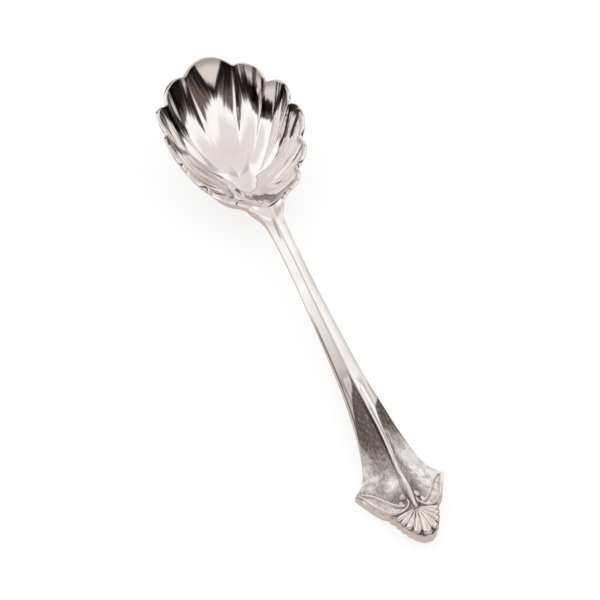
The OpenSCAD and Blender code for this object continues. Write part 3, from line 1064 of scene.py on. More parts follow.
@dataclass(frozen=True)
class ShellBowl(SubAssembly):
    """The pressed bowl with its eleven fluted lobes.

    Args:
        columns_per_lobe: Faces between two knots of the ring.
        row_power: Power that draws the rows together at the edge.
        edge_gap: Width of the last faces before the edge, in radii of the edge.
        patches: The painted dark reflections inside the bowl.
        rim_shade_line: Darkness of the thin painted shade line under the rim.
        rim_shade_line_peak: Place and width of that line, in shares of the way from the centre to the edge.
        mark_columns: Places between two knots at which the darkness is worked out.
        mark_rows: The same from the middle to the edge.
        mark_start: Share of the way out at which these places start.
        mark_reach: Distance in millimetres within which a point takes up their darkness.
    """

    slot = Slot.BOWL
    node = "bowl"

    form: BowlForm
    columns_per_lobe: int = 24
    rows: int = 62
    row_power: float = 0.85
    edge_gap: float = 1.6
    # Painted dark reflections inside the bowl.
    patches: tuple[PaintedReflectionPatch, ...] = (
        PaintedReflectionPatch((11.84, 0.99), (12.08, 0.82), 0.19), PaintedReflectionPatch((12.08, 0.86), (12.2, 0.75), 0.09, 0.8),
        PaintedReflectionPatch((10.62, 0.98), (11.12, 0.8), 0.15), PaintedReflectionPatch((11.12, 0.8), (11.42, 0.68), 0.07, 0.8),
        PaintedReflectionPatch((12.41, 0.98), (12.45, 0.87), 0.05, 0.8), PaintedReflectionPatch((2.6, 1.0), (2.52, 0.86), 0.09),
        PaintedReflectionPatch((1.95, 0.98), (2.15, 0.78), 0.06, 0.8), PaintedReflectionPatch((3.16, 0.97), (3.3, 0.99), 0.09),
        PaintedReflectionPatch((3.42, 0.98), (3.56, 0.86), 0.08), PaintedReflectionPatch((3.14, 0.93), (3.36, 0.79), 0.05, 0.8),
        PaintedReflectionPatch((1.62, 1.0), (1.7, 0.84), 0.09, 0.9), PaintedReflectionPatch((4.35, 0.97), (4.5, 0.86), 0.06, 0.7),
        PaintedReflectionPatch((5.62, 0.94), (5.92, 0.8), 0.12, 0.85), PaintedReflectionPatch((6.22, 0.9), (6.15, 0.6), 0.26, 0.78),
        PaintedReflectionPatch((6.15, 0.6), (6.6, 0.42), 0.2, 0.75), PaintedReflectionPatch((6.6, 0.42), (7.4, 0.33), 0.12, 0.5))
    # A thin painted shade line just under the rim.
    rim_shade_line: float = 0.5
    rim_shade_line_peak: Span = (0.985, 0.02)
    mark_columns: int = 40
    mark_rows: int = 90
    mark_start: float = 0.1
    mark_reach: float = 0.3

    def sheet(self, u: Array, v: Array) -> Array:
        """Places the grid over both faces of the wall.

        Args:
            u: Shares of the way round the mouth.
            v: Shares of the way from the inner face's middle over the edge to the outer face's middle.

        Returns:
            One row of x, y and z for each place.
        """
        form = self.form
        past, lift = form.edge_profile()
        reach = np.linspace(0, 1, self.rows + 1)[:-1] ** self.row_power
        s = u * form.ring
        edge_point = spline_ring(form.outline, s)[0]
        out = np.linalg.norm(edge_point - form.centre, axis=1)
        climb = spline_ring(form.power_ring, s)[0] * spline_ring(form.rise_ring, s)[0] / out
        scale = np.linalg.norm(edge_point - form.meeting, axis=1) * np.hypot(1, climb)
        total = 2 * self.rows + len(past) - 1
        row = np.round(v * total).astype(int)
        inner = row < self.rows
        rim = ~inner & (row < self.rows + len(past))
        k = np.clip(row - self.rows, 0, len(past) - 1)
        j = np.clip(np.where(inner, row, total - row), 0, self.rows - 1)
        last = 1 - self.edge_gap * form.edge_radius / scale
        r = np.where(rim, 1 + past[k] / scale, reach[j] / reach[-1] * last)
        return form.fluted(s, r, np.where(rim, lift[k], np.where(inner, 0.0, form.wall)))

    def tarnish(self, s: Array, t: Array) -> Array:
        """Painted dark reflections and shade of the flutes' upper ends at ring places s and shares t of the
        way out.
        """
        line = Zone(self.rim_shade_line, peak=self.rim_shade_line_peak).amount(t, s)
        return np.maximum.reduce([line] + [patch.amount(s, t) for patch in self.patches])

    def build(self) -> Piece:
        """Makes the bowl and marks the painted dark reflections and shade inside it.

        Returns:
            The bowl with its layer of painted dark reflections and shade.
        """
        form = self.form
        edge_rows = len(form.edge_profile()[0])
        piece = wrapped_sheet("shell_bowl", form.ring * self.columns_per_lobe, 2 * self.rows + edge_rows - 1,
                              self.sheet)
        columns = form.ring * self.mark_columns
        s = np.repeat(np.linspace(0, form.ring, columns, endpoint=False), self.mark_rows)
        r = np.tile(np.linspace(self.mark_start, 1.0, self.mark_rows), columns)
        place, share = form.ring_share(form.fluted_plan(s, r))
        out = np.linalg.norm(spline_ring(form.outline, place)[0] - form.centre, axis=1)
        # Painted dark reflections and shade, worked out on a fine grid and carried to the bowl's points.
        dark = self.tarnish(place, share / (1 + form.lobes(place, form.soft_arch)[0] / out))
        tree = KDTree(len(s))
        for number, known in enumerate(form.fluted(s, r, np.zeros_like(s))):
            tree.insert(Vector(known), number)
        tree.balance()
        values = []
        for point in points_of(piece) / MM:
            _, nearest, distance = tree.find(Vector(point))
            values.append(dark[nearest] if distance < self.mark_reach else 0.0)
        mark(piece, tarnish=np.array(values))
        return piece


@dataclass(frozen=True)
class HandleMarks:
    """Where the handle is matted, and where light and shade are painted on it.

    Places along the handle are shares of its length. Across it, the left field's limit and all tones take
    shares of the half width, and the rest takes millimetres, from the middle or, for a line, past its edge.
    Spans called soft, gap, start or end are those over which a mark comes in or goes.

    Args:
        top_depth: Depths below the upper surface between which every mark ends.
        left_limit: Outer limit of the left field.
        right_limit: Inner limit of the right field.
        right_border_shade: Faint painted shade along the right edge of the stem.
        left_facet_shade: Painted shade on the stem's left facet where it meets the field.
        rib_flank_shade: Painted dark lines of shade at the foot of the rib.
        neck_shade_line: Painted dark wedge of shade beside a line that slants over the neck.
        neck_slant: Distance that this line goes across in one length of the handle.
        neck_middle: Share at which it crosses the middle.
        ground: Darkness of the painted shade behind the ornament.
        ground_bow: How much earlier that shade starts at the middle, in shares.
        bow_width: Distance from the middle at which it starts as written.
        point_ground: Further darkness of that shade at the very end.
    """

    form: HandleForm
    top_depth: Span = (0.25, 0.05)
    field_ends: Span = (0.5, 1.0)
    left_limit: Knots = ((0, 0), (0.5, 0), (0.514, 0.1), (0.55, 0.24), (0.586, 0.6), (0.61, 0.76),
                         (0.635, 0.88), (0.665, 0.97), (0.69, 1.05), (1, 1.05))
    left_soft: Span = (-0.02, 0.06)
    left_gap: Span = (0.16, 0.3)
    right_limit: Knots = ((0, 9), (0.595, 4.2), (0.61, 3.08), (0.628, 1.99), (0.657, 1.51), (0.68, 1.29),
                          (0.704, 1.11), (0.726, 0.95), (0.743, 0.89), (0.83, 0.6), (1, 0.3))
    right_soft: Span = (0.0, 0.25)
    right_start: Span = (0.595, 0.605)
    # Painted light and shade on the left matted field.
    left_painted_light: tuple[Zone, ...] = (
        Zone(0.45, ((0.72, 0.82),)),
        Zone(0.3, ((0.69, 0.76), (0.83, 0.78)), ((0.45, 0.85),)),
        Zone(0.3, peak=(0.755, 0.02), cross_peak=(0.8, 0.12)),
        Zone(0.3, peak=(0.81, 0.02), cross_peak=(0.65, 0.12)),
        Zone(0.5, peak=(0.845, 0.02), cross_peak=(0.2, 0.15)),
        Zone(0.25, ((0.66, 0.74),), cross_peak=(0.97, 0.08)))
    # Painted light and shade on the right matted field, with a bright painted highlight.
    right_painted_light: tuple[Zone, ...] = (
        Zone(0.5, ((0.67, 0.73),)),
        Zone(0.85, peak=(0.772, 0.036), cross_peak=(0.82, 0.32)),
        Zone(-0.25, ((0.7, 0.75),), ((0.45, 0.2),)),
        Zone(0.3, peak=(0.81, 0.03), cross_peak=(0.55, 0.15)),
        Zone(0.4, ((0.79, 0.84),), ((0.2, 0.5),)))
    brightest: float = 1.5
    # Painted shade: dark lines by the edges and the rib, soft shade on the stem, and a dark wedge over the
    # neck.
    left_edge: Zone = Zone(1.0, ((0.3, 0.4), (0.74, 0.68)), cross_peak=(-0.16, 0.2))
    right_edge: Zone = Zone(0.9, ((0.56, 0.62), (0.76, 0.7)), cross_peak=(-0.16, 0.2))
    right_border_shade: Zone = Zone(0.22, ((0.03, 0.08), (0.6, 0.56)), cross_peak=(-0.2, 0.35))
    left_facet_shade: Zone = Zone(0.42, ((0.49, 0.55), (0.66, 0.6)))
    rib_flank_shade: Zone = Zone(0.55, ((0.62, 0.68), (0.92, 0.9)), cross_peak=(0.12, 0.16))
    neck_shade_line: Zone = Zone(0.75, ((0.015, 0.05), (0.1, 0.075)), cross_peak=(-0.5, 0.2))
    neck_slant: float = 3.0
    neck_middle: float = 0.03
    # Painted shade behind the ornament, deeper at the very end.
    ground: float = 0.5
    ground_start: Span = (0.875, 0.9)
    ground_bow: float = 0.05
    bow_width: float = 6.0
    point_ground: float = 0.4
    point_start: Span = (0.965, 0.985)
    rib_gap: Span = (-0.1, 0.2)
    rib_end: Span = (0.925, 0.935)

    def field(self, f: Array, y: Array) -> Array:
        """How far the upper surface belongs to the matted fields.

        Args:
            f: Shares of the length.
            y: Distances from the middle.

        Returns:
            The share of matted metal at each place.
        """
        away = np.abs(y)
        inside = curve(self.left_limit, f) - away / self.form.half_width(f)
        left = smooth_step(*self.left_soft, inside) * smooth_step(*self.left_gap, away)
        outside = away - curve(self.right_limit, f)
        right = smooth_step(*self.right_soft, outside) * smooth_step(*self.right_start, f)
        between = (f > self.field_ends[0]) & (f < self.field_ends[1])
        return np.where(between, np.where(y < 0, left, right), 0)

    def tone(self, f: Array, y: Array) -> Array:
        """Painted light and shade on the matted fields.

        Args:
            f: Shares of the length.
            y: Distances from the middle.

        Returns:
            The painted brightness at each place, 0 where the painted shade is darkest.
        """
        a = np.abs(y) / self.form.half_width(f)
        both = (self.left_painted_light, self.right_painted_light)
        left, right = (sum(zone.amount(f, a) for zone in zones) for zones in both)
        return np.clip(np.where(y < 0, left, right), 0, self.brightest)

    def darkness(self, f: Array, y: Array) -> Array:
        """Painted shade behind the ornament, and painted dark lines and patches of shade on the handle.

        Args:
            f: Shares of the length.
            y: Distances from the middle.

        Returns:
            The darkness at each place, from 0 to 1.
        """
        away = np.abs(y)
        inner = np.clip(f, 0, 1)
        past_edge = away - self.form.half_width(inner)
        past_rib = away - self.form.rib_half(inner)
        slanted = y + self.neck_slant * (f - self.neck_middle)
        start = f + self.ground_bow * (1 - away / self.bow_width)
        clear = np.maximum(smooth_step(*self.rib_gap, past_rib), smooth_step(*self.rib_end, f))
        level = self.ground + self.point_ground * smooth_step(*self.point_start, f)
        return np.maximum.reduce([
            level * smooth_step(*self.ground_start, start) * clear,
            self.left_edge.amount(f, past_edge) * (y < 0), self.right_edge.amount(f, past_edge) * (y > 0),
            self.right_border_shade.amount(f, past_edge) * (y > 0), self.left_facet_shade.amount(f, y) * (y < 0),
            self.rib_flank_shade.amount(f, past_rib), self.neck_shade_line.amount(f, slanted)])

    def put_on(self, piece: Piece) -> None:
        """Marks a handle with its matted field, its painted shade and its painted light.

        Args:
            piece: The handle.
        """
        points = points_of(piece) / MM
        f = self.form.share(points[:, 0])
        y = points[:, 1]
        upper = smooth_step(*self.top_depth, self.form.top(f, y) - points[:, 2])
        mark(piece, field=self.field(f, y) * upper, ground=self.darkness(f, y) * upper,
             tone=self.tone(np.clip(f, 0, 1), y))


@dataclass(frozen=True)
class SilverHandle(SubAssembly):
    """The solid handle: a ridged stem that spreads into the terminal, with its heel on the bowl.

    Sizes are in millimetres, and places along the handle are shares of its length. Places on the bowl's wall
    are ring places beside the heel and shares of the way down from the rim. Steps count the points of a
    section over each edge, field, half of the rib, side wall and underside.

    Args:
        cap_power: Power that draws the rows of the heel's cap towards its rim.
        blend_end: Share at which the fillet between the cap and the stem ends.
        station_gap: Distance between the rows of the stem.
        point_crowding: How much denser the rows lie beyond the corners.
        end_shrink: Size of the last row before the end's middle.
        cap_reach: Half the width of the cap, in ring places.
        cap_depths: How far down the wall the cap reaches at its middle and at its sides.
        cap_middle: Share of that depth at which the cap's middle lies.
        cap_lift: Distance of the cap from the bowl's inner face.
        tongue_lift: The same for the short tongue that laps over the rim.
        tongue_rise: How far the tongue reaches past the rim.
        tongue_down: Shares of the depth between which the tongue ends.
        tongue_across: Shares of the cap's half width between which it ends.
        fillet_pull: How strongly the fillet keeps to the bowl's wall.
        fillet_inset: Size of the smaller cap that shows the wall's direction.
        fillet_way: Direction in which the fillet leaves the bowl.
        fillet_tail: How strongly the fillet runs into the stem.
        look_ahead: Share over which the stem's own direction is read.
        scallop_depth: Depth of the notches between the petals.
        scallop_centre: Share at which the petals meet.
        scallop_pitch: Angle between two notches, in degrees.
        scallop_edge: Shares of the half width between which a notch deepens.
        scallop_start: Shares between which the notches start.
        scallop_turn: Angles from the axis between which they start, in degrees.
        scallop_least: Least distance from the petals' centre that a notch counts with.
    """

    slot = Slot.HANDLE
    node = "handle"

    form: HandleForm
    edge_steps: int = 5
    field_steps: int = 26
    rib_steps: int = 10
    wall_steps: int = 5
    under_steps: int = 16
    cap_rows: int = 6
    cap_power: float = 0.8
    blend_rows: int = 14
    blend_end: float = 0.035
    station_gap: float = 0.45
    point_crowding: float = 1.4
    end_shrink: float = 0.86
    cap_reach: float = 0.6
    cap_depths: Span = (0.2, 0.1)
    cap_middle: float = 0.5
    cap_lift: float = 1.42
    tongue_lift: float = 0.12
    tongue_rise: float = 0.004
    tongue_down: Span = (0.25, 0.0)
    tongue_across: Span = (1.0, 0.86)
    fillet_pull: float = 0.8
    fillet_inset: float = 0.9
    fillet_way: tuple[float, float, float] = (0.96, 0.0, -0.28)
    fillet_tail: float = 1.25
    look_ahead: float = 0.004
    scallop_depth: float = 0.5
    scallop_centre: float = 0.923
    scallop_pitch: float = 18.5
    scallop_edge: Span = (0.75, 1.0)
    scallop_start: Span = (0.895, 0.915)
    scallop_turn: Span = (6.0, 14.0)
    scallop_least: float = 2.0

    @cached_property
    def loop(self) -> tuple[Array, Array, Array]:
        """The points round a section.

        Returns:
            The stretch on which each point lies, its share of that stretch, and its share of the way down on
            the heel's cap.
        """
        steps = (self.edge_steps, self.field_steps, 2 * self.rib_steps, self.field_steps, self.edge_steps,
                 self.wall_steps, self.edge_steps, self.under_steps, self.edge_steps, self.wall_steps)
        parts = np.repeat(list(Stretch), steps)
        shares = np.concatenate([np.arange(count) / count for count in steps])
        last = (Stretch.RIGHT_EDGE, Stretch.RIGHT_WALL, Stretch.LEFT_LOW_EDGE)
        values = [0 * shares, shares, 0 * shares + 1]
        down = np.select([parts <= stretch for stretch in last], values, 1 - shares)
        return parts, shares, down

    def section(self, f: Array, k: Array) -> Array:
        """Points of the sections.

        Args:
            f: Shares of the handle's length.
            k: Numbers of points round the section.

        Returns:
            One row of x, y and z for each place.
        """
        form = self.form
        part, share = self.loop[0][k], self.loop[1][k]
        r = form.edge_radius
        half, rib = form.half_width(f), form.rib_half(f)
        near = half - r
        sine, cosine = np.sin(share * math.pi / 2), np.cos(share * math.pi / 2)
        across = {
            Stretch.LEFT_EDGE: r * (1 - cosine) - half, Stretch.LEFT_FIELD: share * (near - rib) - near,
            Stretch.RIB: rib * (2 * share - 1), Stretch.RIGHT_FIELD: rib + share * (near - rib),
            Stretch.RIGHT_EDGE: near + r * sine, Stretch.RIGHT_WALL: half,
            Stretch.RIGHT_LOW_EDGE: near + r * cosine, Stretch.UNDERSIDE: near * (1 - 2 * share),
            Stretch.LEFT_LOW_EDGE: -near - r * sine, Stretch.LEFT_WALL: -half}
        y = np.select([part == stretch for stretch in across], list(across.values()))
        rising = (part == Stretch.LEFT_EDGE) | (part == Stretch.RIGHT_LOW_EDGE)
        falling = (part == Stretch.RIGHT_EDGE) | (part == Stretch.LEFT_LOW_EDGE)
        rounding = np.select([rising, falling], [r * (1 - sine), r * (1 - cosine)], 0.0)
        high_end, low_end = form.top(f, half) - r, form.bottom(f, half) + r
        z = np.select([part <= Stretch.RIGHT_EDGE, part == Stretch.RIGHT_WALL, part == Stretch.LEFT_WALL],
                      [form.top(f, y) - rounding, high_end + share * (low_end - high_end),
                       low_end + share * (high_end - low_end)], form.bottom(f, y) + rounding)
        return np.column_stack([form.along(f), y * self.scallop(f, y), z])

    def scallop(self, f: Array, y: Array) -> Array:
        """Factor on the width that notches the edge between the palmette's petals.

        Args:
            f: Shares of the handle's length.
            y: Distances from the middle.

        Returns:
            The factor at each place.
        """
        x = (f - self.scallop_centre) * self.form.length
        far = np.maximum(np.hypot(x, y), self.scallop_least)
        angle = np.degrees(np.arctan2(np.abs(y), x))
        wave = 1 - np.abs(np.cos(math.pi * angle / self.scallop_pitch))
        near_edge = smooth_step(*self.scallop_edge, np.abs(y) / self.form.half_width(f))
        ends = smooth_step(*self.scallop_start, f) * smooth_step(*self.scallop_turn, angle)
        return 1 - self.scallop_depth * wave * near_edge * ends / far

    def cap(self, k: Array, size: Array) -> Array:
        """Points of the heel's cap on the bowl's outer wall.

        Args:
            k: Numbers of points round the section.
            size: Shares of the way from the cap's middle to its rim.

        Returns:
            One row of x, y and z for each place.
        """
        count = len(self.loop[0])
        reference = self.section(np.full(count, self.blend_end), np.arange(count))[:, 1]
        a = (reference / np.abs(reference).max())[k] * size
        down = self.cap_middle + (self.loop[2][k] - self.cap_middle) * size
        middle_depth, side_depth = self.cap_depths
        depth = middle_depth + (side_depth - middle_depth) * a * a
        over = smooth_step(*self.tongue_down, down) * smooth_step(*self.tongue_across, np.abs(a))
        lift = self.cap_lift * (1 - over) + self.tongue_lift * over
        bowl = self.form.bowl
        return bowl.placed(bowl.side - self.cap_reach * a, 1 - down * depth + self.tongue_rise * over, lift)

    def blend(self, k: Array, share: Array) -> Array:
        """Points of the concave fillet between the cap's rim and the stem.

        Args:
            k: Numbers of points round the section.
            share: Shares of the way from the cap's rim to the stem.

        Returns:
            One row of x, y and z for each place.
        """
        start = self.cap(k, np.ones(len(k)))
        inward = unit(self.cap(k, np.full(len(k), self.fillet_inset)) - start)
        end_share = np.full(len(k), self.blend_end)
        end = self.section(end_share, k)
        ahead = unit(self.section(end_share + self.look_ahead, k) - end)
        gap = np.linalg.norm(end - start, axis=1)[:, None]
        side = np.abs(start[:, 1:2]) / np.abs(start[:, 1]).max()
        pull = self.fillet_pull * np.maximum(side ** 2, self.loop[2][k][:, None])
        first = unit(np.array([self.fillet_way]) + pull * inward) * gap
        last = ahead * gap * self.fillet_tail
        u = share[:, None]
        return ((2 * u ** 3 - 3 * u ** 2 + 1) * start + (u ** 3 - 2 * u ** 2 + u) * first
                + (3 * u ** 2 - 2 * u ** 3) * end + (u ** 3 - u ** 2) * last)

    @cached_property
    def stations(self) -> Array:
        """Shares of the sections between the fillet and the end.

        Returns:
            The shares, in rising order.
        """
        form = self.form
        stem_count = round((form.corner - self.blend_end) * form.length / self.station_gap)
        point_count = round((1 - form.corner) * form.length / self.station_gap * self.point_crowding)
        stem = np.linspace(self.blend_end, form.corner, stem_count + 1)
        point = np.linspace(form.corner, 1 - form.edge_radius / form.length, point_count + 1)
        return np.concatenate([stem, point[1:]])

    @property
    def rows(self) -> int:
        """Number of rows of points from the cap's middle to the end's."""
        return self.cap_rows + self.blend_rows + len(self.stations) + 2

    def sheet(self, u: Array, v: Array) -> Array:
        """Places the grid over the handle.

        Args:
            u: Shares of the way round the section.
            v: Shares of the way from the middle of the cap to the end.

        Returns:
            One row of x, y and z for each place.
        """
        form = self.form
        columns = len(self.loop[0])
        k = np.round(u * columns).astype(int) % columns
        row = np.round(v * (self.rows - 1)).astype(int)
        points = np.zeros((len(u), 3))
        first = self.cap_rows + self.blend_rows
        on_cap = row < self.cap_rows
        points[on_cap] = self.cap(k[on_cap], (row[on_cap] / self.cap_rows) ** self.cap_power)
        on_blend = (row >= self.cap_rows) & (row < first)
        points[on_blend] = self.blend(k[on_blend], (row[on_blend] - self.cap_rows) / self.blend_rows)
        on_stem = row >= first
        station = self.stations[np.clip(row[on_stem] - first, 0, len(self.stations) - 1)]
        points[on_stem] = self.section(station, k[on_stem])
        middle = np.array([form.along(1.0), 0.0, (form.top(1.0, 0.0) + form.bottom(1.0, 0.0)) / 2])
        for back, shrink in ((2, self.end_shrink), (1, 0.0)):
            here = row == self.rows - back
            points[here] = middle + shrink * (self.section(np.ones(here.sum()), k[here]) - middle)
        return points

    def build(self) -> Piece:
        """Makes the handle and marks its fields and the painted light and shade on it, also behind the
        ornament.

        Returns:
            The handle with its layers of matted field, painted shade and painted light.
        """
        piece = wrapped_sheet("silver_handle", len(self.loop[0]), self.rows - 1, self.sheet, weld=0.001)
        HandleMarks(self.form).put_on(piece)
        return piece


@dataclass(frozen=True)
class SolderFilm(SubAssembly):
    """The thin film of solder that fixes the handle's heel to the bowl.

    Args:
        handle: The handle whose cap the film follows.
        margin: How far the film shows beyond the cap, as a share of its size.
        top_lift: Distance of the film's outer face from the bowl's inner face, in millimetres.
        low_lift: The same for its face on the bowl.
        squareness: Power of the film's outline, 2 for an oval and more for a squarer one.
        rim_limit: Greatest share of the way to the bowl's edge.
    """

    slot = Slot.SOLDER
    node = "solder_seam"

    handle: SilverHandle
    margin: float = 0.07
    top_lift: float = 1.3
    low_lift: float = 1.12
    squareness: float = 2.6
    rim_limit: float = 0.999
    columns: int = 40
    rows: int = 10

    def sheet(self, u: Array, v: Array) -> Array:
        """Places the grid over both faces of the film.

        Args:
            u: Shares of the way round the film.
            v: Shares of the way from the middle of its top over its edge to the bottom's middle.

        Returns:
            One row of x, y and z for each place.
        """
        handle = self.handle
        bowl = handle.form.bowl
        cosine, sine = np.cos(u * 2 * math.pi), np.sin(u * 2 * math.pi)
        power = self.squareness
        squared = (np.abs(cosine) ** power + np.abs(sine) ** power) ** (1 / power)
        size = np.minimum(v, 1 - v) * 2 * (1 + self.margin) / squared
        across = cosine * size
        down = handle.cap_middle + handle.cap_middle * sine * size
        middle_depth, side_depth = handle.cap_depths
        depth = middle_depth + (side_depth - middle_depth) * np.minimum(across ** 2, 1)
        lift = np.where(v < 0.5, self.top_lift, self.low_lift)
        reach = np.minimum(1 - down * depth, self.rim_limit)
        return bowl.placed(bowl.side - handle.cap_reach * across, reach, lift)

    def build(self) -> Piece:
        """Makes the film."""
        return wrapped_sheet("solder_film", self.columns, 2 * self.rows, self.sheet)


@dataclass(frozen=True)
class ReliefLeaf:
    """One raised leaf, petal or rim of the ornament, laid along a path on the terminal.

    Args:
        path: Knots of the middle line, as distances from the heel and from the middle, in millimetres.
        widths: Half widths along the path.
        relief: Height shares across, from the left edge at -1 to the right edge at 1.
        round_start: Share of the length over which the start is rounded.
        round_end: Share of the length over which the end is rounded.
        sink: Depth of the underside below the surface.
        margin: Least distance from the terminal's side edges.
        end_margin: Least distance from the terminal's end.
        look_ahead: Share of the path over which its direction is read.
        shade: Darkness of the hollows, from 0 to 1.
        shade_span: Shares of the greatest height between which that darkness ends.
        grain: Share of matted metal on the leaf.
        across: Faces over the leaf, and as many under it.
    """

    name: str
    path: Knots
    widths: Sequence[float]
    heights: Sequence[float]
    relief: Knots = ((-1, 0), (-0.9, 0.45), (-0.6, 0.85), (0, 1), (0.6, 0.85), (0.9, 0.45), (1, 0))
    round_start: float = 0.1
    round_end: float = 0.2
    sink: float = 0.12
    margin: float = 0.06
    end_margin: float = 0.05
    look_ahead: float = 0.004
    shade: float = 0.7
    shade_span: Span = (0.38, 0.02)
    grain: float = 0.0
    # Brightness of the leaf's matted metal, in the layer that holds the handle's painted light.
    tone: float = 0.68
    across: int = 22
    along: int = 48

    def taper(self, v: Array) -> Array:
        """Factor on the width that rounds both ends, at shares v of the path."""
        start, end = np.clip(v / self.round_start, 0, 1), np.clip((1 - v) / self.round_end, 0, 1)
        return np.sqrt(1 - (1 - start) ** 2) * np.sqrt(1 - (1 - end) ** 2)

    def sheet(self, form: HandleForm, u: Array, v: Array) -> Array:
        """Places the grid over the leaf and back under it.

        Args:
            form: The handle on which the leaf lies.
            u: Shares of the way over the leaf and back.
            v: Shares of the way along the path.

        Returns:
            One row of x, y and z for each place.
        """
        v = (1 - np.cos(v * math.pi)) / 2
        ahead = unit(spline_path(self.path, np.minimum(v + self.look_ahead, 1))
                     - spline_path(self.path, np.maximum(v - self.look_ahead, 0)))
        over = u < 0.5
        w = np.where(over, 4 * u - 1, 3 - 4 * u)
        taper = self.taper(v)
        shift = spline_path(self.widths, v) * taper * w
        spot = spline_path(self.path, v) + shift[:, None] * np.column_stack([-ahead[:, 1], ahead[:, 0]])
        height = spline_path(self.heights, v) * np.sqrt(taper)
        x = np.clip(spot[:, 0], 0, form.length - self.end_margin)
        limit = form.half_width(x / form.length) - self.margin
        lift = np.where(over, height * curve(self.relief, w), 0) - self.sink
        return form.on_top(x, np.clip(spot[:, 1], -limit, limit), lift)

    def build(self, form: HandleForm) -> Piece:
        """Makes the leaf and marks the painted shade in its hollows, and its matted metal.

        Args:
            form: The handle on which the leaf lies.

        Returns:
            The leaf with its layers of matted metal, painted shade and painted light.
        """
        piece = wrapped_sheet(self.name, 2 * self.across, self.along, lambda u, v: self.sheet(form, u, v))
        points = points_of(piece) / MM
        rise = points[:, 2] - form.top(form.share(points[:, 0]), points[:, 1])
        # Painted shade in the hollows at the foot of the relief.
        hollow = self.shade * smooth_step(*self.shade_span, rise / max(self.heights))
        mark(piece, ground=hollow, field=np.full_like(rise, self.grain), tone=np.full_like(rise, self.tone))
        return piece


def round_bud(name: str, place: tuple[float, float], radius: float, height: float,
              **finish: float) -> ReliefLeaf:
    """Describes a small round bud, a leaf as long as it is wide with both ends rounded.

    Args:
        name: Name of the bud.
        place: Its distances from the heel and from the middle, in millimetres.
        radius: Its radius, in millimetres.
        height: Its height, in millimetres.
        finish: Its shade and grain, where they aren't a leaf's usual ones.

    Returns:
        The bud.
    """
    path = [(place[0] + step * radius, place[1]) for step in (-1, 0, 1)]
    return ReliefLeaf(name, path, [radius] * 3, [height] * 3, round_start=0.5, round_end=0.5, across=14,
                      along=20, **finish)


@dataclass(frozen=True)
class LeafScroll(SubAssembly):
    """One of the two long leaf scrolls beside the palmette.

    The body is the low leaf between two raised rims, and its relief goes from its inner side to its outer.
    Middle lines are distances from the heel and from the middle, and widths are half widths, in millimetres.
    The rims' widths along a line, and all heights along one, are shares of the greatest.
    """

    form: HandleForm
    side: Side
    body: Knots = ((84.1, 9.6), (86.0, 8.1), (88.4, 6.9), (90.6, 5.6), (92.1, 4.2), (92.6, 2.8), (92.3, 1.7))
    body_widths: tuple[float, ...] = (0.25, 0.9, 1.25, 1.4, 1.3, 0.9, 0.4)
    body_height: float = 0.5
    body_heights: tuple[float, ...] = (0.5, 1, 1, 0.7)
    body_relief: Knots = ((-1, 0.1), (-0.75, 0.1), (-0.45, 0.55), (0.1, 0.85), (0.6, 0.65), (1, 0.3))
    body_grain: float = 0.8
    outer_rim: Knots = ((83.9, 9.95), (86.4, 8.8), (88.6, 7.95), (90.8, 6.9), (92.3, 5.7), (93.1, 4.3),
                        (93.2, 3.0), (92.8, 1.8), (91.9, 1.1), (90.7, 1.1))
    inner_rim: Knots = ((84.1, 9.4), (85.3, 8.1), (86.6, 6.9), (88.4, 5.75), (90.4, 4.4), (91.6, 3.1),
                        (92.0, 1.9))
    rim_width: float = 0.33
    rim_widths: tuple[float, ...] = (0.7, 1, 1, 1, 0.8)
    rim_height: float = 0.95
    rim_heights: tuple[float, ...] = (0.6, 1, 1, 1, 0.7)
    rim_shade: float = 0.25

    @property
    def node(self) -> str:
        """The solid whose place the scroll takes."""
        return f"{self.side.word}_leaf_scroll"

    def sided(self, path: Knots) -> tuple[tuple[float, float], ...]:
        """Puts a path on the scroll's own side."""
        return tuple((x, self.side * y) for x, y in path)

    def rim(self, word: str, path: Knots) -> ReliefLeaf:
        """Describes one raised rim.

        Args:
            word: The rim's place in the scroll, for its name.
            path: Its middle line.

        Returns:
            The rim, which is slighter at its two ends.
        """
        widths = [self.rim_width * share for share in self.rim_widths]
        heights = [self.rim_height * share for share in self.rim_heights]
        return ReliefLeaf(f"{self.side.word}_scroll_{word}", self.sided(path), widths, heights,
                          round_start=0.05, round_end=0.08, shade=self.rim_shade, across=10, along=90)

    def build(self) -> Piece:
        """Makes the low leaf and its two rims as one cast piece.

        Returns:
            The scroll.
        """
        name = f"{self.side.word}_scroll"
        relief = tuple(sorted((self.side * w, height) for w, height in self.body_relief))
        heights = [self.body_height * share for share in self.body_heights]
        leaf = ReliefLeaf(f"{name}_leaf", self.sided(self.body), self.body_widths, heights, relief,
                          round_start=0.06, round_end=0.2, grain=self.body_grain, across=30, along=56)
        parts = (leaf, self.rim("outer", self.outer_rim), self.rim("inner", self.inner_rim))
        return join(name, [part.build(self.form) for part in parts])


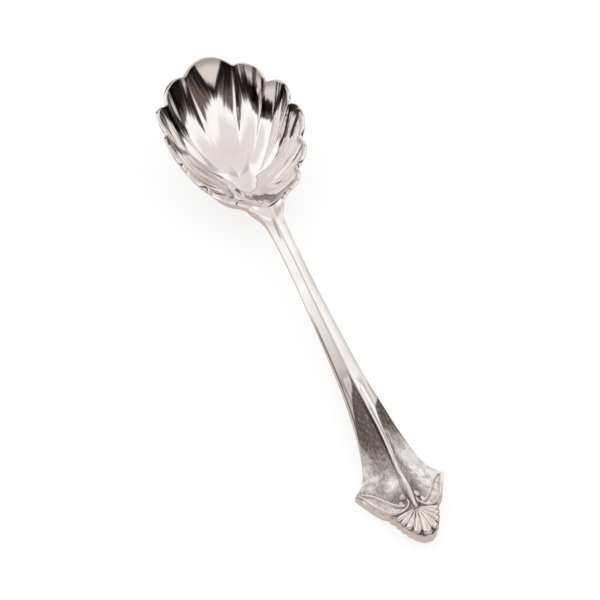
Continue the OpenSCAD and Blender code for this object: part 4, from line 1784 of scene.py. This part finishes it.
@dataclass(frozen=True)
class PalmetteFan(SubAssembly):
    """The palmette: petals that spread from a small boss at the terminal's end.

    Args:
        centre: Share of the handle's length at which the petals meet.
        spread: Angle of the outermost petals from the axis, in degrees.
        start: Distance from the centre at which a petal starts, in millimetres.
        height: Greatest height of a petal, in millimetres.
        margin: Least distance from the terminal's edge, in millimetres.
        bend: Turn of the outermost petals along their length, in radians.
        fullness: Half width of a petal, as a share of half the gap between two petals.
        foot: Half width of a petal at its start, in millimetres.
        widths: Half widths along the rest of a petal, as shares of the full one.
        heights: Heights along a petal, as shares of the greatest.
        boss_radius: Radius of the boss, in millimetres.
        boss_share: Height of the boss, as a share of a petal's.
        steps: Shares of a petal's length at which its path is given.
        ray_steps: Number of places at which a ray is tried against the edge.
    """

    node = "palmette"

    form: HandleForm
    centre: float = 0.923
    petals: int = 9
    spread: float = 74.0
    start: float = 0.55
    height: float = 1.2
    margin: float = 0.05
    bend: float = 0.1
    fullness: float = 0.86
    foot: float = 0.14
    widths: tuple[float, ...] = (0.36, 0.72, 1.0, 0.95)
    heights: tuple[float, ...] = (0.4, 0.7, 0.95, 1.0, 0.8)
    relief: Knots = ((-1, 0), (-0.95, 0.32), (-0.75, 0.68), (-0.4, 0.93), (0, 1), (0.4, 0.93), (0.75, 0.68),
                     (0.95, 0.32), (1, 0))
    boss_radius: float = 0.4
    boss_share: float = 0.7
    steps: tuple[float, ...] = (0.0, 0.33, 0.66, 1.0)
    ray_steps: int = 200

    @property
    def x(self) -> float:
        """Distance of the petals' centre from the heel."""
        return self.centre * self.form.length

    def reach(self, angle: float) -> float:
        """Length of a ray from the centre that stays inside the terminal's edge.

        Args:
            angle: Turn of the ray from the axis, in radians.

        Returns:
            The length in millimetres.
        """
        length = self.form.length
        steps = np.linspace(0, (1 - self.centre) * length - self.margin, self.ray_steps)
        x, y = self.x + steps * math.cos(angle), steps * math.sin(angle)
        clear = np.abs(y) <= self.form.half_width(x / length) - self.margin
        return float(steps[(x <= length - self.margin) & clear].max())

    def petal(self, number: int) -> Piece:
        """Makes one petal of the fan.

        Args:
            number: The petal's number, from 0 at the left.

        Returns:
            The petal.
        """
        share = 2 * number / (self.petals - 1) - 1
        angle = math.radians(self.spread * share)
        reach = self.reach(angle)
        path = []
        for step in self.steps:
            r = self.start + (reach - self.start) * step
            turned = angle + self.bend * share * (step - 0.5)
            path.append((self.x + r * math.cos(turned), r * math.sin(turned)))
        full = self.fullness * math.radians(self.spread) / (self.petals - 1) * reach
        widths = [self.foot] + [full * width for width in self.widths]
        heights = [self.height * height for height in self.heights]
        return ReliefLeaf(f"palmette_petal_{number + 1}", path, widths, heights, self.relief, round_start=0.2,
                          round_end=0.14, across=18, along=34).build(self.form)

    def build(self) -> Piece:
        """Makes the petals and the boss as one cast piece.

        Returns:
            The palmette.
        """
        parts = [self.petal(number) for number in range(self.petals)]
        boss = round_bud("palmette_boss", (self.x, 0.0), self.boss_radius, self.boss_share * self.height)
        return join("palmette_fan", parts + [boss.build(self.form)])


@dataclass(frozen=True)
class ScrollEye(SubAssembly):
    """The small round buds in one scroll's curl.

    Each bud gives its distances from the heel and from the middle, and its radius, in millimetres. Shade is
    the darkness at their foot, and grain their share of matted metal.
    """

    form: HandleForm
    side: Side
    buds: tuple[tuple[float, float, float], ...] = ((89.7, 1.8, 0.85), (91.1, 2.6, 0.65))
    height: float = 0.6
    shade: float = 0.6
    grain: float = 1.0

    def build(self) -> Piece:
        """Makes the buds as one cast piece.

        Returns:
            The buds.
        """
        made = []
        for number, (x, y, radius) in enumerate(self.buds):
            bud = round_bud(f"{self.side.word}_bud_{number}", (x, self.side * y), radius, self.height,
                            shade=self.shade, grain=self.grain)
            made.append(bud.build(self.form))
        return join(f"{self.side.word}_eye", made)


# Camera, light and floor

@dataclass(frozen=True)
class PhotoCamera:
    """The camera at the photograph's viewing angle.

    It looks at the target from a turn round the spoon and a height above the table, in degrees. The shifts
    move the spoon to the right and up in the picture. Sensor and lens are in millimetres, the rest in metres.
    """

    turn: float = 20.55
    height: float = 46.28
    distance: float = 0.64475
    shift_right: float = 0.00217
    shift_up: float = -0.00315
    target: tuple[float, float, float] = (0.0, 0.0, 0.0009)
    sensor: float = 36.0
    lens: float = 162.0
    clip: Span = (0.01, 20.0)

    def build(self) -> bpy.types.Object:
        """Makes the camera and shows the scene through it.

        Returns:
            The camera.
        """
        turn, height = math.radians(self.turn), math.radians(self.height)
        right = Vector((math.sin(turn), math.cos(turn), 0))
        up = Vector((-math.cos(turn) * math.sin(height), math.sin(turn) * math.sin(height), math.cos(height)))
        back = right.cross(up)
        data = bpy.data.cameras.new("photo_camera")
        data.lens = self.lens
        data.sensor_width = self.sensor
        data.clip_start, data.clip_end = self.clip
        camera = bpy.data.objects.new("photo_camera", data)
        bpy.context.scene.collection.objects.link(camera)
        place = Vector(self.target) + back * self.distance - right * self.shift_right - up * self.shift_up
        camera.matrix_world = Matrix.Translation(place) @ Matrix((right, up, back)).transposed().to_4x4()
        bpy.context.scene.camera = camera
        return camera


@dataclass(frozen=True)
class LightTent:
    """A pale tent round the spoon that only the silver mirrors, with the dark gap of the studio's front.

    Directions are azimuths from the handle's axis and elevations, in degrees. Spans called soft are degrees
    past a border over which one side of it goes over into the other, and ragged sizes are those of a border's
    waves. The gap is dark low down and brown higher up.

    Args:
        radius: Radius of the tent, in metres.
        gap_low: Lower border of the dark gap, by azimuth.
        gap_high: Upper border of the dark gap, by azimuth.
        wave_shift: Azimuth by which the two borders' waves differ.
        brown_span: Shares of the gap's height over which it turns brown.
        front: The low light in front, under the gap.
        back: The pale panel at the back.
        rear: The pale panel at the rear, by azimuths from 0 to 360.
        rear_fade: How far this panel fades upwards, and the elevations between which it does.
        rear_lack: How far it is lacking low down, and the elevations between which it is.
        notch: The white notch in the overhead light, by azimuths from 0 to 360.
        waves: Size, count round the tent and shift of each wave.
        back_light: Colour of the panels at the back and rear.
        white: Colour of the rest.
    """

    radius: float = 1.6
    columns: int = 360
    rows: int = 120
    foot: float = -1.0
    gap_low: Knots = ((-180, 2), (-120, 4), (-88, 11), (-60, 20), (-40, 24), (-20, 27), (0, 28), (20, 25),
                      (40, 17), (60, 6), (82, -3), (120, -3), (180, -3))
    gap_high: Knots = ((-180, 16), (-120, 20), (-88, 28), (-64, 38), (-50, 42), (-20, 39), (0, 36), (20, 34),
                       (40, 31), (60, 28), (82, 25), (110, 14), (180, 12))
    low_soft: Span = (-1.0, 1.0)
    high_soft: Span = (2.5, -1.5)
    front_gap: Zone = Zone(1.0, ((-108, -100), (112, 104)))
    rear_gap: Zone = Zone(1.0, ((-181, -175), (-131, -139)))
    ragged: float = 2.6
    low_ragged: float = 1.3
    wave_shift: float = 40.0
    brown_span: Span = (0.45, 0.8)
    brown_ragged: float = 0.12
    front: Zone = Zone(1.0, ((-125, -95), (110, 90)))
    front_soft: Span = (6.0, -2.0)
    back: Zone = Zone(1.0, ((95, 112), (142, 124)), ((22, 30), (60, 48)))
    rear: Zone = Zone(1.0, ((148, 160), (189, 175)), ((12, 30),))
    rear_fade: tuple[float, float, float] = (0.55, 62, 72)
    rear_lack: tuple[float, float, float] = (0.45, 57, 48)
    notch: Zone = Zone(1.0, ((179, 187), (206, 198)), ((68, 60),))
    overhead: float = 0.85
    overhead_span: Span = (44.0, 60.0)
    overhead_ragged: float = 3.0
    waves: tuple[tuple[float, float, float], ...] = (
        (0.5, 9, 0.6), (0.35, 23, 1.9), (0.25, 41, 0.3), (0.18, 83, 2.2))
    dark: Colour = (0.012, 0.010, 0.009)
    brown: Colour = (0.16, 0.125, 0.105)
    top_light: Colour = (0.8, 0.74, 0.725)
    low_light: Colour = (0.76, 0.69, 0.66)
    back_light: Colour = (0.62, 0.565, 0.535)
    white: Colour = (1.05, 1.04, 1.03)

    def wave(self, azimuth: Array) -> Array:
        """Uneven wave round the tent, between about -1 and 1."""
        return sum(size * np.sin(count * np.radians(azimuth) + shift) for size, count, shift in self.waves)

    def layer(self, under: Array, amount: Array, colour: Colour) -> Array:
        """Lays a colour over those under it, by an amount for each row."""
        return under * (1 - amount[:, None]) + np.array(colour) * amount[:, None]

    def light(self, azimuth: Array, elevation: Array) -> Array:
        """Colour of the tent in each direction.

        Args:
            azimuth: Azimuths of the directions.
            elevation: Their elevations.

        Returns:
            One row of red, green and blue for each direction.
        """
        def shown(zone: Zone, place: Array = azimuth) -> Array:
            """Reads a zone of the tent."""
            return zone.amount(place, elevation)

        low = curve(self.gap_low, azimuth) + self.low_ragged * self.wave(azimuth + self.wave_shift)
        high = curve(self.gap_high, azimuth) + self.ragged * self.wave(azimuth)
        gap = smooth_step(*self.low_soft, elevation - low) * smooth_step(*self.high_soft, elevation - high)
        gap = gap * np.maximum(shown(self.front_gap), shown(self.rear_gap))
        share = np.clip((elevation - low) / np.maximum(high - low, 1), 0, 1)
        share = share + self.brown_ragged * self.wave(3 * azimuth + 2 * elevation)
        dark, white = (np.tile(colour, (len(azimuth), 1)) for colour in (self.dark, self.white))
        shade = self.layer(dark, smooth_step(*self.brown_span, share), self.brown)
        turn = np.where(azimuth < 0, azimuth + 360, azimuth)
        rear = shown(self.rear, turn)
        for amount, start, end in (self.rear_fade, self.rear_lack):
            rear = rear * (1 - amount * smooth_step(start, end, elevation))
        overhead = smooth_step(*self.overhead_span, elevation + self.overhead_ragged * self.wave(azimuth))
        overhead = self.overhead * overhead * (1 - shown(self.notch, turn))
        tone = self.layer(white, overhead, self.top_light)
        below = smooth_step(*self.front_soft, elevation - low) * shown(self.front)
        tone = self.layer(tone, below, self.low_light)
        tone = self.layer(tone, shown(self.back), self.back_light)
        tone = self.layer(tone, rear, self.back_light)
        return tone * (1 - gap[:, None]) + shade * gap[:, None]

    def build(self) -> bpy.types.Object:
        """Makes the tent.

        Returns:
            The tent, which glows with the colours of its own layer and shows in mirrors alone.
        """
        tent, u, v = add_grid("light_tent", self.columns, self.rows)
        azimuth = 360 * (u - 0.5)
        elevation = self.foot + (90 - self.foot) * v
        a, e = np.radians(azimuth), np.radians(elevation)
        directions = np.column_stack([np.cos(a) * np.cos(e), np.sin(a) * np.cos(e), np.sin(e)])
        move_points(tent, self.radius * directions)
        layer = tent.data.attributes.new("light", "FLOAT_COLOR", "POINT")
        colours = np.column_stack([self.light(azimuth, elevation), np.ones(len(a))])
        layer.data.foreach_set("color", colours.astype(np.float32).ravel())
        material, board = NodeBoard.material("tent_light")
        board.tree.nodes.clear()
        colour = board.add("ShaderNodeAttribute", attribute_name="light").outputs["Color"]
        glow = board.add("ShaderNodeEmission", {"Color": colour})
        board.add("ShaderNodeOutputMaterial", {"Surface": glow.outputs[0]})
        tent.data.materials.append(material)
        tent.visible_camera = False
        tent.visible_diffuse = False
        tent.visible_shadow = False
        tent.visible_transmission = False
        return tent


@dataclass(frozen=True)
class Studio:
    """Pale floor and white surroundings; the floor keeps the spoon's soft shadow.

    Args:
        floor_size: Length of the floor's sides, in metres.
        matte_floor: Colour of the floor where light falls on it.
        seen_floor: Glow that the camera adds to it.
        mirrored_floor: Glow that the silver mirrors.
        world_colour: Colour of the surroundings.
        world_strength: Their strength.
    """

    floor_size: float = 6.0
    matte_floor: Colour = (0.26, 0.26, 0.26)
    seen_floor: Colour = (0.77, 0.77, 0.77)
    mirrored_floor: Colour = (0.4, 0.325, 0.285)
    world_colour: Colour = (1.0, 0.99, 0.98)
    world_strength: float = 1.0

    def floor(self) -> bpy.types.Object:
        """Makes the pale floor, which stays white for the camera and keeps a soft shadow.

        Returns:
            The floor.
        """
        select_none()
        bpy.ops.mesh.primitive_plane_add(size=self.floor_size, location=(0, 0, 0))
        floor = bpy.context.object
        floor.name = "studio_floor"
        material, board = NodeBoard.material("pale_floor")
        board.tree.nodes.clear()
        rays = board.add("ShaderNodeLightPath").outputs
        seen = board.calculate("MAXIMUM", rays["Is Camera Ray"], rays["Is Glossy Ray"])
        tint = board.mix(rays["Is Camera Ray"], (*self.mirrored_floor, 1), (*self.seen_floor, 1))
        glow = board.add("ShaderNodeEmission", {"Color": tint, "Strength": seen}).outputs[0]
        matte = board.add("ShaderNodeBsdfDiffuse", {"Color": (*self.matte_floor, 1)}).outputs[0]
        both = board.add("ShaderNodeAddShader", {0: matte, 1: glow}).outputs[0]
        board.add("ShaderNodeOutputMaterial", {"Surface": both})
        floor.data.materials.append(material)
        return floor

    def world(self) -> None:
        """Surrounds the scene with even white."""
        world = bpy.data.worlds.new("studio_world")
        bpy.context.scene.world = world
        world.use_nodes = True
        colour = {"Color": (*self.world_colour, 1), "Strength": self.world_strength}
        NodeBoard(world.node_tree).fill(world.node_tree.nodes["Background"], colour)

    def build(self) -> None:
        """Sets up floor, world and tent."""
        self.floor()
        self.world()
        LightTent().build()


def main() -> None:
    """Builds and dresses the spoon and its studio."""
    logging.basicConfig(level=logging.INFO)
    PhotoCamera().build()
    bowl_form = BowlForm()
    handle_form = HandleForm(bowl_form)
    handle = SilverHandle(handle_form)
    polished = SilverFinish("polished_silver").build()
    fluted = FlutedFinish("fluted_silver").build()
    worked = WorkedFinish("worked_silver").build()
    cast = WorkedFinish("cast_silver", colour=(0.93, 0.895, 0.87), worn_colour=(0.78, 0.735, 0.7),
                        roughness=0.07, worn_roughness=0.16, scratch_bump=0.12).build()
    ShellBowl(bowl_form).dress(fluted)
    handle.dress(worked)
    SolderFilm(handle).dress(polished)
    PalmetteFan(handle_form).dress(cast)
    for kind in (LeafScroll, ScrollEye):
        for side in Side:
            kind(handle_form, side).dress(cast)
    Studio().build()
    bpy.context.scene.view_settings.view_transform = "Standard"


if __name__ == "__main__":
    main()
